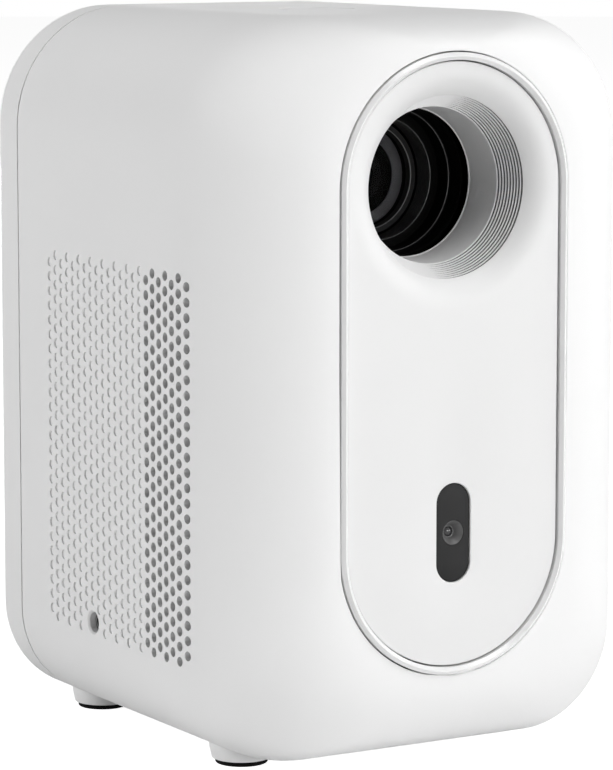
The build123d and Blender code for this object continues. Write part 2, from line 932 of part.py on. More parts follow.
def make_button_switch():
    low = button_board_top()
    half = switch_size / 2
    body = block((-half, half), (button_depth - half, button_depth + half), (low, low + switch_body_height))
    top = low + switch_body_height
    return body + rod_z(plunger_radius, top, top + plunger_height, 0, button_depth)


# Feet and tripod bush
def make_feet():
    feet = []
    shell = body_form(0.0, body_depth)
    low = pad_thickness - pad_recess
    for x, depth in foot_places:
        height = foot_height + foot_reach - low
        growth = (foot_top_radius - foot_bottom_radius) / (foot_height - low)
        cone = Cone(foot_bottom_radius, foot_bottom_radius + growth * height, height)
        foot = Pos(x, at(depth), low + height / 2) * cone
        foot = fillet(foot.faces().sort_by(Axis.Z)[0].edges(), foot_edge_radius)
        foot -= shell
        foot -= rod_z(pad_radius + pad_clearance, 0, pad_thickness, x, depth)
        foot -= rod_z(foot_screw_head_radius + screw_clearance, 0, pad_thickness + foot_screw_head, x, depth)
        foot -= rod_z(foot_screw_radius + screw_clearance, 0, body_low + foot_reach, x, depth)
        feet.append(foot)
    return feet


def make_foot_pads():
    return [rod_z(pad_radius, 0, pad_thickness, x, depth) for x, depth in foot_places]


def make_foot_screws():
    screws = []
    for x, depth in foot_places:
        seat = pad_thickness + foot_screw_head
        head = rod_z(foot_screw_head_radius, pad_thickness, seat, x, depth)
        screws.append(head + rod_z(foot_screw_radius, seat, seat + foot_screw_length, x, depth))
    return screws


def make_tripod_bush():
    low = body_low + bush_recess
    depth = bush_depth()
    bush = rod_z(bush_radius, low, chassis_top + bush_flange_thickness + bush_top, 0, depth)
    bush += rod_z(bush_flange_radius, chassis_top, chassis_top + bush_flange_thickness, 0, depth)
    return bush - rod_z(bush_thread_radius, low, low + bush_thread_length, 0, depth)


# Chassis and power supply
def column_places():
    return [(side * column_x, depth) for side in (-1, 1) for depth in (column_front, column_back)]


def power_board_span():
    return column_front - power_standoff_inset, column_back + power_standoff_inset


def power_standoff_places():
    front, back = power_board_span()
    x = power_board_half_width - power_standoff_inset
    depths = (front + power_standoff_inset, back - power_standoff_inset)
    return [(side * x, depth) for side in (-1, 1) for depth in depths]


def make_base_chassis():
    plate = block(
        (-chassis_half_width, chassis_half_width), (chassis_front, chassis_back), (floor_z, chassis_top)
    )
    half = column_size / 2
    base = sink_top - sink_base_thickness
    for x, depth in column_places():
        plate += block((x - half, x + half), (depth - half, depth + half), (floor_z, base))
    stake_top = power_board_z + board_thickness + stake_head
    for x, depth in power_standoff_places():
        plate += rod_z(power_standoff_radius, floor_z, power_board_z, x, depth)
        plate += rod_z(stake_radius, floor_z, stake_top, x, depth)
    return plate - rod_z(bush_radius + bush_clearance, body_low, chassis_top + wall, 0, bush_depth())


def make_power_board():
    board = block(
        (-power_board_half_width, power_board_half_width),
        power_board_span(),
        (power_board_z, power_board_z + board_thickness),
    )
    return board - [
        rod_z(stake_radius + stake_clearance, power_board_z - wall, power_board_z + 2 * wall, x, depth)
        for x, depth in power_standoff_places()
    ]


def make_transformer():
    wide, deep, high = transformer_size
    base = power_board_z + board_thickness
    depth_span = (transformer_back - deep / 2, transformer_back + deep / 2)
    core = block((-wide / 2, wide / 2), depth_span, (base, base + high))
    return chamfer(core.edges().filter_by(Axis.Z), wall / 2)


def make_bulk_capacitor():
    base = power_board_z + board_thickness
    return rod_z(capacitor_radius, base, base + capacitor_height, capacitor_x, capacitor_back)


# Heat sink and lamp
def make_heat_sink():
    base_low = sink_top - sink_base_thickness
    base_span = (-engine_half_width, fan_right + sink_overhang)
    sink = block(base_span, (sink_front, engine_back), (base_low, sink_top))
    fin_span = (fin_side_inset - engine_half_width, fan_left)
    fin_front = sink_front + fin_front_inset
    fin_back = engine_front - fin_rear_gap
    fin_top = lens_z - fin_drop
    pitch = (fin_back - fin_front - fin_thickness) / (fin_count - 1)
    for number in range(fin_count):
        start = fin_front + pitch * number
        sink += block(fin_span, (start, start + fin_thickness), (base_low, fin_top))
    return sink


def make_led_module():
    half = condenser_radius - lamp_board_inset
    top = sink_top + lamp_board_thickness
    depth_span = (engine_mid - half, engine_mid + half)
    board = block((-half, half), depth_span, (sink_top, top))
    dome = Pos(0, at(engine_mid), top) * Sphere(lamp_dome_radius)
    dome &= block((-half, half), depth_span, (top - lamp_board_thickness / 2, top + half))
    return board + dome


# Light engine
def make_light_engine_housing():
    x_span = (-engine_half_width, engine_half_width)
    shell = block(x_span, (engine_front, engine_back), (sink_top, engine_roof))
    inner_x = engine_half_width - engine_wall
    inner_depth = (engine_front + engine_wall, engine_back - engine_wall)
    shell -= block((-inner_x, inner_x), inner_depth, (sink_top - wall, engine_roof + wall))
    shelf_z = body_low + shelf_height
    shelf = block((-inner_x, inner_x), inner_depth, (shelf_z - shelf_thickness, shelf_z))
    shelf_hole = condenser_radius - shelf_rest
    shelf -= rod_z(shelf_hole, shelf_z - wall - shelf_thickness, shelf_z + wall, 0, engine_mid)
    shell += shelf
    ledge = block((-inner_x, inner_x), inner_depth, (ledge_top - ledge_thickness, ledge_top))
    ledge -= block(
        (-inner_x + ledge_width, inner_x - ledge_width),
        (inner_depth[0] + ledge_width, inner_depth[1] - ledge_width),
        (ledge_top - wall, ledge_top + wall),
    )
    shell += ledge
    hole = board_screw_radius + screw_clearance
    hole_start = board_back - board_screw_length - screw_clearance
    for x, z in board_hole_places():
        shell += rod_y(standoff_radius, engine_back - engine_wall / 2, board_depth, x, z)
        shell -= rod_y(hole, hole_start, board_back, x, z)
    return shell


def make_condenser_lens():
    base = body_low + shelf_height
    ball = (condenser_radius**2 + condenser_dome**2) / (2 * condenser_dome)
    rim_top = base + condenser_edge
    dome = Pos(0, at(engine_mid), rim_top + condenser_dome - ball) * Sphere(ball)
    barrel = rod_z(condenser_radius, base, rim_top + 2 * condenser_dome, 0, engine_mid)
    return barrel & (dome + rod_z(2 * condenser_radius, base, rim_top, 0, engine_mid))


def stack_plate(low, high):
    return block((-stack_half_width, stack_half_width), (stack_front, stack_back), (low, high))


def stack_frame(low, high):
    """A plain frame that keeps two plates of the stack apart."""
    inner = block(
        (-stack_half_width + frame_width, stack_half_width - frame_width),
        (stack_front + frame_width, stack_back - frame_width),
        (low - wall, high + wall),
    )
    return stack_plate(low, high) - inner


def stack_levels():
    """Heights of the faces between the plates and frames of the stack, from below."""
    lower = [lens_sheet_thickness, lcd_frame_height, lcd_thickness]
    levels = [ledge_top]
    for height in lower + [field_frame_height, lens_sheet_thickness]:
        levels.append(levels[-1] + height)
    return levels


def mirror_reach():
    """Depth plus height of the mirror's front face, which leans at 45 degrees through the lens line."""
    return engine_mid + lens_z


def make_mirror():
    plate = Box(2 * mirror_half_width, mirror_length, mirror_thickness)
    return Pos(0, at(engine_mid), lens_z) * Rot(-45, 0, 0) * Pos(0, 0, mirror_thickness / 2) * plate


def mirror_wedge(inset, half, back_face, low):
    """A prism under a face that leans at 45 degrees, with a flat roof at its front."""
    front, back = engine_front + inset, engine_back - inset
    roof = mirror_roof - inset
    points = [(front, low), (back, low), (back, back_face - back), (back_face - roof, roof), (front, roof)]
    outline = [(at(depth), z) for depth, z in points]
    face = Plane.YZ * make_face(Polyline(*outline, close=True))
    return Pos(-half, 0, 0) * extrude(face, amount=2 * half)


def make_mirror_housing():
    inner_face = mirror_reach() + mirror_thickness * sqrt(2)
    outer_face = inner_face + engine_wall * sqrt(2)
    shell = mirror_wedge(0, engine_half_width, outer_face, engine_roof)
    inner_half_width = engine_half_width - engine_wall
    shell -= mirror_wedge(engine_wall, inner_half_width, inner_face, engine_roof - wall)
    clamp_outer = inner_half_width - clamp_clearance
    clamp_front = engine_front + engine_wall + clamp_clearance
    clamp_back = engine_back - engine_wall - clamp_clearance
    top = engine_roof + engine_wall
    clamp = block((-clamp_outer, clamp_outer), (clamp_front, clamp_back), (stack_levels()[-1], top))
    clamp -= block(
        (-clamp_outer + clamp_thickness, clamp_outer - clamp_thickness),
        (clamp_front + clamp_thickness, clamp_back - clamp_thickness),
        (stack_levels()[-1] - wall, top + wall),
    )
    joint_span = (engine_front + engine_wall, engine_back - engine_wall)
    joint = block((-inner_half_width, inner_half_width), joint_span, (engine_roof, top))
    joint -= block(
        (-clamp_outer + clamp_thickness, clamp_outer - clamp_thickness),
        (clamp_front + clamp_thickness, clamp_back - clamp_thickness),
        (engine_roof - wall, top + wall),
    )
    shell += [clamp, joint]
    hole = barrel_radius + barrel_bore_clearance
    return shell - rod_y(hole, engine_front - wall, engine_front + 2 * wall, 0, lens_z)


# Projection lens
def make_lens_sleeve():
    inner = barrel_radius + barrel_clearance
    tube = rod_y(sleeve_radius, sleeve_front, engine_front, 0, lens_z)
    collar_start = ring_front + gear_length + gear_side_clearance
    tube += rod_y(sleeve_collar_radius, collar_start, collar_start + sleeve_collar_length, 0, lens_z)
    z_span = (lens_z - sleeve_flange, lens_z + sleeve_flange)
    tube += block((-sleeve_flange, sleeve_flange), (sleeve_back, engine_front), z_span)
    tube -= rod_y(inner, 0, engine_front + wall, 0, lens_z)
    reach = barrel_radius + key_height + key_clearance
    half = key_width / 2 + key_clearance
    return tube - block((-reach, reach), (0, engine_front + wall), (lens_z - half, lens_z + half))


def make_lens_barrel():
    points = [(barrel_radius, barrel_front), (mouth_radius, barrel_front)]
    for radius, setback in mouth_edges:
        points.append((points[-1][0], barrel_front + setback))
        points.append((radius, barrel_front + setback))
    points.append((points[-1][0], front_ring_depth))
    bore = front_lens_radius + lens_fit
    lens_seat = front_ring_depth + front_ring_thickness + front_lens_edge
    rear_bore = rear_lens_radius + lens_fit
    points += [
        (bore, front_ring_depth),
        (bore, lens_seat),
        (iris_radius, lens_seat),
        (iris_radius, lens_seat + iris_thickness),
        (rear_bore, lens_seat + iris_thickness),
        (rear_bore, barrel_back),
        (barrel_radius, barrel_back),
    ]
    barrel = turned_y(points, lens_z)
    reach = barrel_radius + key_height
    half = key_width / 2
    core = (barrel_radius + rear_bore) / 2
    for side in (-1, 1):
        span = sorted((side * core, side * reach))
        barrel += block(span, (sleeve_front + key_width, sleeve_back), (lens_z - half, lens_z + half))
    return barrel


def crowned_disc(radius, edge, front, front_crown, back_crown):
    """A round lens with an upright edge and a crown on one or both faces."""
    solid = rod_y(radius, front, front + edge, 0, lens_z)
    for crown, rim, side in ((front_crown, front, -1), (back_crown, front + edge, 1)):
        if crown > 0:
            ball = (radius**2 + crown**2) / (2 * crown)
            cap = Pos(0, at(rim + side * (crown - ball)), lens_z) * Sphere(ball)
            span = sorted((rim, rim + 2 * side * crown))
            solid += cap & rod_y(radius, span[0], span[1], 0, lens_z)
    return solid


def front_lens_seat():
    return front_ring_depth + front_ring_thickness


def rear_lens_seat():
    return front_lens_seat() + front_lens_edge + iris_thickness


def make_front_lens():
    inner = front_ring_inner - lens_fit
    lens = rod_y(front_lens_radius, front_lens_seat(), front_lens_seat() + front_lens_edge, 0, lens_z)
    ball = (inner**2 + front_lens_crown**2) / (2 * front_lens_crown)
    cap = Pos(0, at(front_lens_seat() - front_lens_crown + ball), lens_z) * Sphere(ball)
    return lens + (cap & rod_y(inner, front_lens_seat() - 2 * front_lens_crown, front_lens_seat(), 0, lens_z))


def make_rear_lens():
    return crowned_disc(rear_lens_radius, rear_lens_edge, rear_lens_seat(), 0.0, rear_lens_crown)


def make_front_lens_ring():
    return tube_y(front_lens_radius, front_ring_inner, front_ring_depth, front_lens_seat(), 0, lens_z)


def make_rear_lens_ring():
    start = rear_lens_seat() + rear_lens_edge
    ring = tube_y(rear_lens_radius, rear_ring_inner, start, start + rear_ring_thickness, 0, lens_z)
    return ring - make_rear_lens()


# Focus drive
def gear_face(teeth, turn):
    """A spur gear's outline with involute flanks; turn is where a tooth points, in degrees."""
    pitch = gear_module * teeth / 2
    base = pitch * cos(radians(pressure_angle))
    tip = pitch + gear_addendum * gear_module
    root = pitch - gear_dedendum * gear_module
    flank_start = max(base, root)
    roll = tan(radians(pressure_angle)) - radians(pressure_angle)
    half_tooth = pi / (2 * teeth) - gear_backlash / (4 * pitch)
    flank = []
    for step in range(flank_points + 1):
        radius = flank_start + (tip - flank_start) * step / flank_points
        lean = acos(base / radius)
        flank.append((radius, half_tooth + roll - (tan(lean) - lean)))
    if root < flank_start:
        flank.insert(0, (root, flank[0][1]))
    points = []
    for tooth in range(teeth):
        middle = radians(turn) + 2 * pi * tooth / teeth
        sides = [(radius, middle - swing) for radius, swing in flank]
        sides += [(radius, middle + swing) for radius, swing in reversed(flank)]
        points += [(radius * cos(angle), radius * sin(angle)) for radius, angle in sides]
    return make_face(Polyline(*points, close=True))


def make_focus_ring():
    face = facing(ring_front) * Pos(0, lens_z) * gear_face(ring_teeth, pinion_angle)
    ring = push_back(face, gear_length)
    return ring - rod_y(sleeve_radius + gear_running, sleeve_front, sleeve_back, 0, lens_z)


def make_ring_keeper():
    start = ring_front - gear_side_clearance - keeper_thickness
    return tube_y(keeper_radius, sleeve_radius + keeper_clearance, start, start + keeper_thickness, 0, lens_z)


def make_focus_pinion():
    half_pitch = 180.0 / pinion_teeth
    outline = gear_face(pinion_teeth, pinion_angle + 180 + half_pitch)
    gear = push_back(facing(ring_front) * Pos(pinion_x, pinion_z) * outline, gear_length)
    shaft_end = pinion_back + pinion_shaft_length
    return gear + rod_y(pinion_shaft_radius, ring_front, shaft_end, pinion_x, pinion_z)


def make_focus_motor():
    body = rod_y(motor_radius, pinion_back, sleeve_back, pinion_x, pinion_z)
    bore_end = pinion_back + pinion_shaft_length + gear_side_clearance
    return body - rod_y(pinion_shaft_radius + shaft_clearance, 0, bore_end, pinion_x, pinion_z)


# Fan
def make_fan_frame():
    half = fan_size / 2
    frame = block((fan_left, fan_right), (fan_depth - half, fan_depth + half), (fan_z - half, fan_z + half))
    frame = fillet(frame.edges().filter_by(Axis.X), fan_corner_radius)
    frame -= rod_x(fan_bore_radius, fan_left - wall, fan_right + wall, fan_depth, fan_z)
    strut_left = fan_right - fan_strut_thickness
    frame += rod_x(fan_hub_radius, strut_left, fan_right, fan_depth, fan_z)
    reach = fan_bore_radius + fan_strut_thickness / 2
    for angle in fan_strut_angles:
        bar = Pos(0, 0, reach / 2) * Box(fan_strut_thickness, fan_strut_width, reach)
        frame += Pos(strut_left + fan_strut_thickness / 2, at(fan_depth), fan_z) * Rot(angle, 0, 0) * bar
    frame -= rod_x(fan_shaft_radius + shaft_clearance, strut_left - wall, fan_right + wall, fan_depth, fan_z)
    offset = half - fan_hole_inset
    return frame - [
        rod_x(fan_hole_radius, fan_left - wall, fan_right + wall, fan_depth + along, fan_z + up)
        for along in (-offset, offset)
        for up in (-offset, offset)
    ]


def make_fan_rotor():
    left = fan_left + fan_inset
    right = fan_right - fan_strut_thickness - fan_hub_gap
    length = right - left
    hub = rod_x(fan_hub_radius, left, right, fan_depth, fan_z)
    tip = fan_bore_radius - fan_blade_gap
    root = fan_hub_radius - fan_blade_thickness
    chord = (length - 2 * fan_inset) / cos(radians(fan_blade_angle))
    sweep = rod_x(tip, left, right, fan_depth, fan_z)
    blade = Rot(0, 0, fan_blade_angle) * Box(chord, fan_blade_thickness, tip - root)
    blade = Pos(0, 0, (root + tip) / 2) * blade
    middle = Pos((left + right) / 2, at(fan_depth), fan_z)
    for number in range(fan_blade_count):
        hub += (middle * Rot(360 * number / fan_blade_count, 0, 0) * blade) & sweep
    return hub + rod_x(fan_shaft_radius, left + length / 2, fan_right, fan_depth, fan_z)


# Main board and sockets
def board_hole_places():
    x = board_half_width - board_hole_inset
    low = board_low_z + board_hole_inset
    high = board_top_z - board_hole_inset
    return [(side * x, z) for side in (-1, 1) for z in (low, high)]


def make_main_board():
    x_span = (-board_half_width, board_half_width)
    board = block(x_span, (board_depth, board_back), (board_low_z, board_top_z))
    return board - [
        rod_y(board_screw_radius + screw_clearance, board_depth - wall, board_back + wall, x, z)
        for x, z in board_hole_places()
    ]


def make_board_screws():
    shank = (board_screw_radius, board_screw_length)
    head = (board_screw_head_radius, board_screw_head)
    return [screw_y(shank, head, board_back, x, z) for x, z in board_hole_places()]


def make_processor_block():
    half = processor_size / 2
    z = board_top_z - processor_drop
    top = board_back + processor_height
    sink = block((-half, half), (board_back, top), (z - half, z + half))
    gap = processor_size / (2 * processor_grooves + 1)
    pitch = 2 * gap
    return sink - [
        block(
            (-half + pitch * number + gap, -half + pitch * number + 2 * gap),
            (top - processor_groove_depth, top + wall),
            (z - processor_size, z + processor_size),
        )
        for number in range(processor_grooves)
    ]


def socket_row():
    return [(video_x, video_width, video_height)] + [(x, data_width, data_height) for x in data_x]


def socket_outline(x, width, height, clearance):
    """A block that passes through the recess's floor, for one rear socket."""
    half, rise = width / 2 + clearance, height / 2 + clearance
    return block((x - half, x + half), (port_face - 2 * wall, body_depth), (port_z - rise, port_z + rise))


def rear_socket(x, width, height, tongue):
    """A sheet-metal shell with a tongue inside, open to the back."""
    half, rise = width / 2, height / 2
    shell = block((x - half, x + half), (board_back, socket_face), (port_z - rise, port_z + rise))
    floor = socket_face - rear_socket_depth
    shell -= block(
        (x - half + shell_thickness, x + half - shell_thickness),
        (floor, socket_face + wall),
        (port_z - rise + shell_thickness, port_z + rise - shell_thickness),
    )
    wide, thick = tongue
    return shell + block(
        (x - wide / 2, x + wide / 2),
        (floor - shell_thickness, socket_face - shell_thickness),
        (port_z - thick / 2, port_z + thick / 2),
    )


# Audio socket
def socket_cutter():
    """The socket's hole through the left side, chamfered at its mouth."""
    hole = rod_x(socket_hole_radius, -half_width - wall, -inner_half + wall, socket_depth, socket_z)
    mouth = Cone(socket_hole_radius + socket_chamfer, socket_hole_radius, socket_chamfer)
    return hole + Pos(-half_width + socket_chamfer / 2, at(socket_depth), socket_z) * Rot(0, 90, 0) * mouth


def audio_board_top():
    return socket_z - socket_half_height


def audio_ledge():
    top = audio_board_top() - audio_board_thickness
    return block(
        (-half_width + audio_ledge_sink, -inner_half + socket_length),
        (socket_depth - audio_board_half, socket_depth + audio_board_half),
        (top - audio_ledge_height, top),
    )


def make_audio_jack():
    inner = -inner_half + socket_length
    body = block(
        (-inner_half, inner),
        (socket_depth - socket_half_width, socket_depth + socket_half_width),
        (socket_z - socket_half_height, socket_z + socket_half_height),
    )
    mouth = -half_width + socket_recess
    body += rod_x(socket_ferrule_radius, mouth, -inner_half + wall, socket_depth, socket_z)
    return body - rod_x(socket_bore_radius, mouth, mouth + socket_bore_length, socket_depth, socket_z)


def make_audio_board():
    top = audio_board_top()
    return block(
        (-inner_half + audio_ledge_sink, -inner_half + socket_length),
        (socket_depth - audio_board_half, socket_depth + audio_board_half),
        (top - audio_board_thickness, top),
    )


# Mains inlet
def make_ac_inlet():
    wide, high = inlet_plate
    plate_start = cover_inner - inlet_plate_thickness
    nose_end = body_depth - inlet_nose_recess
    body_start = nose_end - inlet_body_length
    x_span = (inlet_x - wide / 2, inlet_x + wide / 2)
    inlet = block(x_span, (plate_start, cover_inner), (inlet_z - high / 2, inlet_z + high / 2))
    inlet += flat_slot(body_start, inlet_body_length, inlet_nose, inlet_x, inlet_z)
    cavity_floor = nose_end - inlet_cavity_depth
    inlet -= flat_slot(cavity_floor, inlet_cavity_depth + wall, inlet_cavity, inlet_x, inlet_z)
    hole = inlet_pin_radius + inlet_pin_clearance
    root = cavity_floor - inlet_pin_root
    return inlet - [rod_y(hole, root, nose_end, x, inlet_z) for x in inlet_pin_places()]


def inlet_pin_places():
    return [inlet_x + side * inlet_pin_spacing / 2 for side in (-1, 1)]


def make_inlet_pins():
    nose_end = body_depth - inlet_nose_recess
    start = nose_end - inlet_cavity_depth - inlet_pin_root
    end = nose_end - inlet_pin_setback
    return [rod_y(inlet_pin_radius, start, end, x, inlet_z) for x in inlet_pin_places()]


# Speaker
def make_speaker_basket():
    flange_start = cover_inner - speaker_flange
    neck = cover_inner - speaker_basket_depth
    outer = [
        (speaker_neck_radius - speaker_wall, neck),
        (speaker_neck_radius, neck),
        (speaker_cone_radius + speaker_wall, flange_start),
        (speaker_radius, flange_start),
        (speaker_radius, cover_inner),
        (speaker_cone_radius, cover_inner),
        (speaker_cone_radius, flange_start),
        (speaker_neck_radius - speaker_wall, neck + speaker_wall),
    ]
    return turned_y(outer, speaker_z)


def make_speaker_magnet():
    neck = cover_inner - speaker_basket_depth
    return rod_y(speaker_magnet_radius, neck - speaker_magnet_depth, neck, 0, speaker_z)


def make_speaker_cone():
    """A paper cone that rests against the inside of the basket's slope."""
    flange_start = cover_inner - speaker_flange
    neck = cover_inner - speaker_basket_depth
    inner_neck = speaker_neck_radius - speaker_wall
    points = [
        (0.0, neck + speaker_wall),
        (inner_neck, neck + speaker_wall),
        (speaker_cone_radius, flange_start),
        (speaker_cone_radius - speaker_wall, flange_start),
        (inner_neck - speaker_wall, neck + 2 * speaker_wall),
        (0.0, neck + 2 * speaker_wall),
    ]
    return turned_y(points, speaker_z)


def all_nodes():
    levels = stack_levels()
    return {
        "main_housing": make_main_housing(),
        "back_cover": make_back_cover(),
        "trim_ring": make_trim_ring(),
        "front_panel": make_front_panel(),
        "sensor_window": make_sensor_window(),
        "camera_module": make_camera_module(),
        "camera_glass": make_camera_glass(),
        "ir_receiver": make_ir_receiver(),
        "sensor_board": make_sensor_board(),
        "power_button": make_power_button(),
        "button_board": make_button_board(),
        "button_switch": make_button_switch(),
        "feet": make_feet(),
        "foot_pads": make_foot_pads(),
        "foot_screws": make_foot_screws(),
        "tripod_bush": make_tripod_bush(),
        "base_chassis": make_base_chassis(),
        "power_board": make_power_board(),
        "transformer": make_transformer(),
        "bulk_capacitor": make_bulk_capacitor(),
        "ac_inlet": make_ac_inlet(),
        "inlet_pins": make_inlet_pins(),
        "heat_sink": make_heat_sink(),
        "led_module": make_led_module(),
        "condenser_lens": make_condenser_lens(),
        "light_engine_housing": make_light_engine_housing(),
        "collimator_lens": stack_plate(levels[0], levels[1]),
        "lcd_frame": stack_frame(levels[1], levels[2]),
        "lcd_panel": stack_plate(levels[2], levels[3]),
        "field_frame": stack_frame(levels[3], levels[4]),
        "field_lens": stack_plate(levels[4], levels[5]),
        "mirror": make_mirror(),
        "mirror_housing": make_mirror_housing(),
        "lens_sleeve": make_lens_sleeve(),
        "lens_barrel": make_lens_barrel(),
        "front_lens": make_front_lens(),
        "rear_lens": make_rear_lens(),
        "front_lens_ring": make_front_lens_ring(),
        "rear_lens_ring": make_rear_lens_ring(),
        "focus_ring": make_focus_ring(),
        "ring_keeper": make_ring_keeper(),
        "focus_motor": make_focus_motor(),
        "focus_pinion": make_focus_pinion(),
        "fan_frame": make_fan_frame(),
        "fan_rotor": make_fan_rotor(),
        "main_board": make_main_board(),
        "board_screws": make_board_screws(),
        "processor_block": make_processor_block(),
        "video_socket": rear_socket(video_x, video_width, video_height, video_tongue),
        "data_sockets": [rear_socket(x, data_width, data_height, data_tongue) for x in data_x],
        "audio_jack": make_audio_jack(),
        "audio_board": make_audio_board(),
        "speaker_basket": make_speaker_basket(),
        "speaker_magnet": make_speaker_magnet(),
        "speaker_cone": make_speaker_cone(),
        "vent_mesh_left": make_vent_mesh(-1),
        "vent_mesh_right": make_vent_mesh(1),
        "back_cover_screws": make_cover_screws(),
        "panel_screws": make_panel_screws(),
    }


for node, shape in all_nodes().items():
    solid = Compound(children=shape) if isinstance(shape, list) else shape
    export_step(solid, f"parts/{node}.step")
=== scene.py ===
"""Looks of a tower-shaped home projector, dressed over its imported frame.

Sizes are millimetres in the frame's axes: X to the right seen from the front,
the front faces -Y and Z is up. Meshes are written in metres.
"""

import json
import logging
import math
from collections.abc import Iterable, Sequence
from dataclasses import dataclass, field
from enum import Enum
from functools import cache

import bmesh
import bpy
from mathutils import Matrix, Vector

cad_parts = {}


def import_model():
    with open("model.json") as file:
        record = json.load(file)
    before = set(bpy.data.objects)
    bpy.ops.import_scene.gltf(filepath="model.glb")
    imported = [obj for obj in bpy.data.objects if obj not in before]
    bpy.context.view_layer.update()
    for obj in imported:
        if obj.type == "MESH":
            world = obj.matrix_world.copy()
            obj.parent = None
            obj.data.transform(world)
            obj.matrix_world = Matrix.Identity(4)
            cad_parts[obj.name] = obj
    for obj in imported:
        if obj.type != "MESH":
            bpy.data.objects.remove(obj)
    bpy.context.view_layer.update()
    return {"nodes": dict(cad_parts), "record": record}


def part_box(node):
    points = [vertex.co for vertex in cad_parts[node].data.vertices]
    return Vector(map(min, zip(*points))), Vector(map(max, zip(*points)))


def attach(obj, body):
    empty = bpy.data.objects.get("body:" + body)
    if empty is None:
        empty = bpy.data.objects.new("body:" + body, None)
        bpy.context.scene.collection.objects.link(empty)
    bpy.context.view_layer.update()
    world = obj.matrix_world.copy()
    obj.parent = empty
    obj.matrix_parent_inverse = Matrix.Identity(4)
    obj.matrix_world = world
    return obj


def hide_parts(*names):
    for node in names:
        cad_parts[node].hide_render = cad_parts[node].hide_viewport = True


MM = 0.001
MERGE_DISTANCE = 1e-7
SHARP_ANGLE = 32.0

# Sizes that several pieces share
WALL = 2.6
BEZEL_WIDTH = 2.18
WINDOW_FLANGE = 1.4

Point = tuple[float, float, float]
Profile = Sequence[tuple[float, float]]
Colour = tuple[float, float, float]
Socket = bpy.types.NodeSocket
SocketList = list[tuple[str, str]]

ORIGIN: Point = (0.0, 0.0, 0.0)
LOG = logging.getLogger("projector")


class Body(Enum):
    """The frame's bodies that carry new pieces."""

    PROJECTOR = "projector"
    LENS = "lens_barrel"


class Slot(Enum):
    """The material slots of the record."""

    WHITE_SHELL = "white_shell"
    PANEL_WHITE = "panel_white"
    TRIM_WHITE = "trim_white"
    SMOKED = "smoked"
    BLACK_PLASTIC = "black_plastic"
    BLACK_ANODISED = "black_anodised"
    RUBBER = "rubber"
    STEEL = "steel"
    BRASS = "brass"
    ALUMINIUM = "aluminium"
    BOARD = "board"
    GLASS = "glass"
    LENS_SHEET = "lens_sheet"
    MIRROR = "mirror"
    NYLON = "nylon"
    PAPER = "paper"


class Side(Enum):
    """The two sides of the body that carry vents."""

    LEFT = -1
    RIGHT = 1


class Axis(Enum):
    """The axes that turned forms lie along."""

    X = "X"
    Z = "Z"


# Node trees

FLOAT = "NodeSocketFloat"
INTEGER = "NodeSocketInt"
GEOMETRY = "NodeSocketGeometry"
MATERIAL = "NodeSocketMaterial"
OBJECT = "NodeSocketObject"


class Tree:
    """A node tree in the making, with short calls for its nodes and links."""

    def __init__(self, tree: bpy.types.NodeTree) -> None:
        """Wraps the shader or geometry tree that is to be filled."""
        self.tree = tree

    def add(self, kind: str, **settings: object) -> bpy.types.Node:
        """Adds one node.

        Args:
            kind: The node's type name.
            settings: Properties set on the node.

        Returns:
            The new node.
        """
        node = self.tree.nodes.new(kind)
        for name, value in settings.items():
            setattr(node, name, value)
        return node

    def wire(self, node: bpy.types.Node, inputs: dict[str | int, object]) -> None:
        """Links a node's inputs to outputs, or sets their values.

        Args:
            node: The node to feed.
            inputs: Output sockets or plain values, by the input's name or number.
        """
        for label, value in inputs.items():
            if isinstance(value, Socket):
                self.tree.links.new(value, node.inputs[label])
            else:
                node.inputs[label].default_value = value

    def put(
        self, kind: str, inputs: dict[str | int, object], output: str | int = 0, **settings: object
    ) -> Socket:
        """Adds one node, feeds its inputs and picks an output.

        Args:
            kind: The node's type name.
            inputs: Output sockets or plain values, by the input's name or number.
            output: Name or number of the output.
            settings: Properties set on the node.

        Returns:
            The output.
        """
        node = self.add(kind, **settings)
        self.wire(node, inputs)
        return node.outputs[output]

    def end(self, outputs: dict[str | int, object]) -> bpy.types.NodeTree:
        """Feeds the group's outputs and returns the finished tree."""
        self.wire(self.add("NodeGroupOutput"), outputs)
        return self.tree

    def math(self, operation: str, first: object, second: object = 0.0) -> Socket:
        """Adds a math node on two outputs or numbers and returns its output."""
        return self.put("ShaderNodeMath", {0: first, 1: second}, operation=operation)

    def vector(self, x: object, y: object, z: object) -> Socket:
        """Joins three numbers or outputs into one vector output."""
        return self.put("ShaderNodeCombineXYZ", {"X": x, "Y": y, "Z": z})

    def noise(self, scale: object, detail: float, where: Socket) -> Socket:
        """Adds a noise texture on the given coordinates and returns its value."""
        return self.put("ShaderNodeTexNoise", {"Vector": where, "Scale": scale, "Detail": detail})

    def cut(self, body: Socket, tool: Socket) -> Socket:
        """Cuts one closed form out of another and returns what is left."""
        forms = {"Mesh 1": body, "Mesh 2": tool}
        return self.put("GeometryNodeMeshBoolean", forms, operation="DIFFERENCE", solver="MANIFOLD")

    def dressed(self, geometry: Socket, finish: Socket) -> Socket:
        """Realizes a geometry's instances and gives it a material."""
        solid = self.put("GeometryNodeRealizeInstances", {"Geometry": geometry})
        return self.put("GeometryNodeSetMaterial", {"Geometry": solid, "Material": finish})


def named(kind: str, *labels: str) -> SocketList:
    """Pairs socket names with one kind of socket."""
    return [(label, kind) for label in labels]


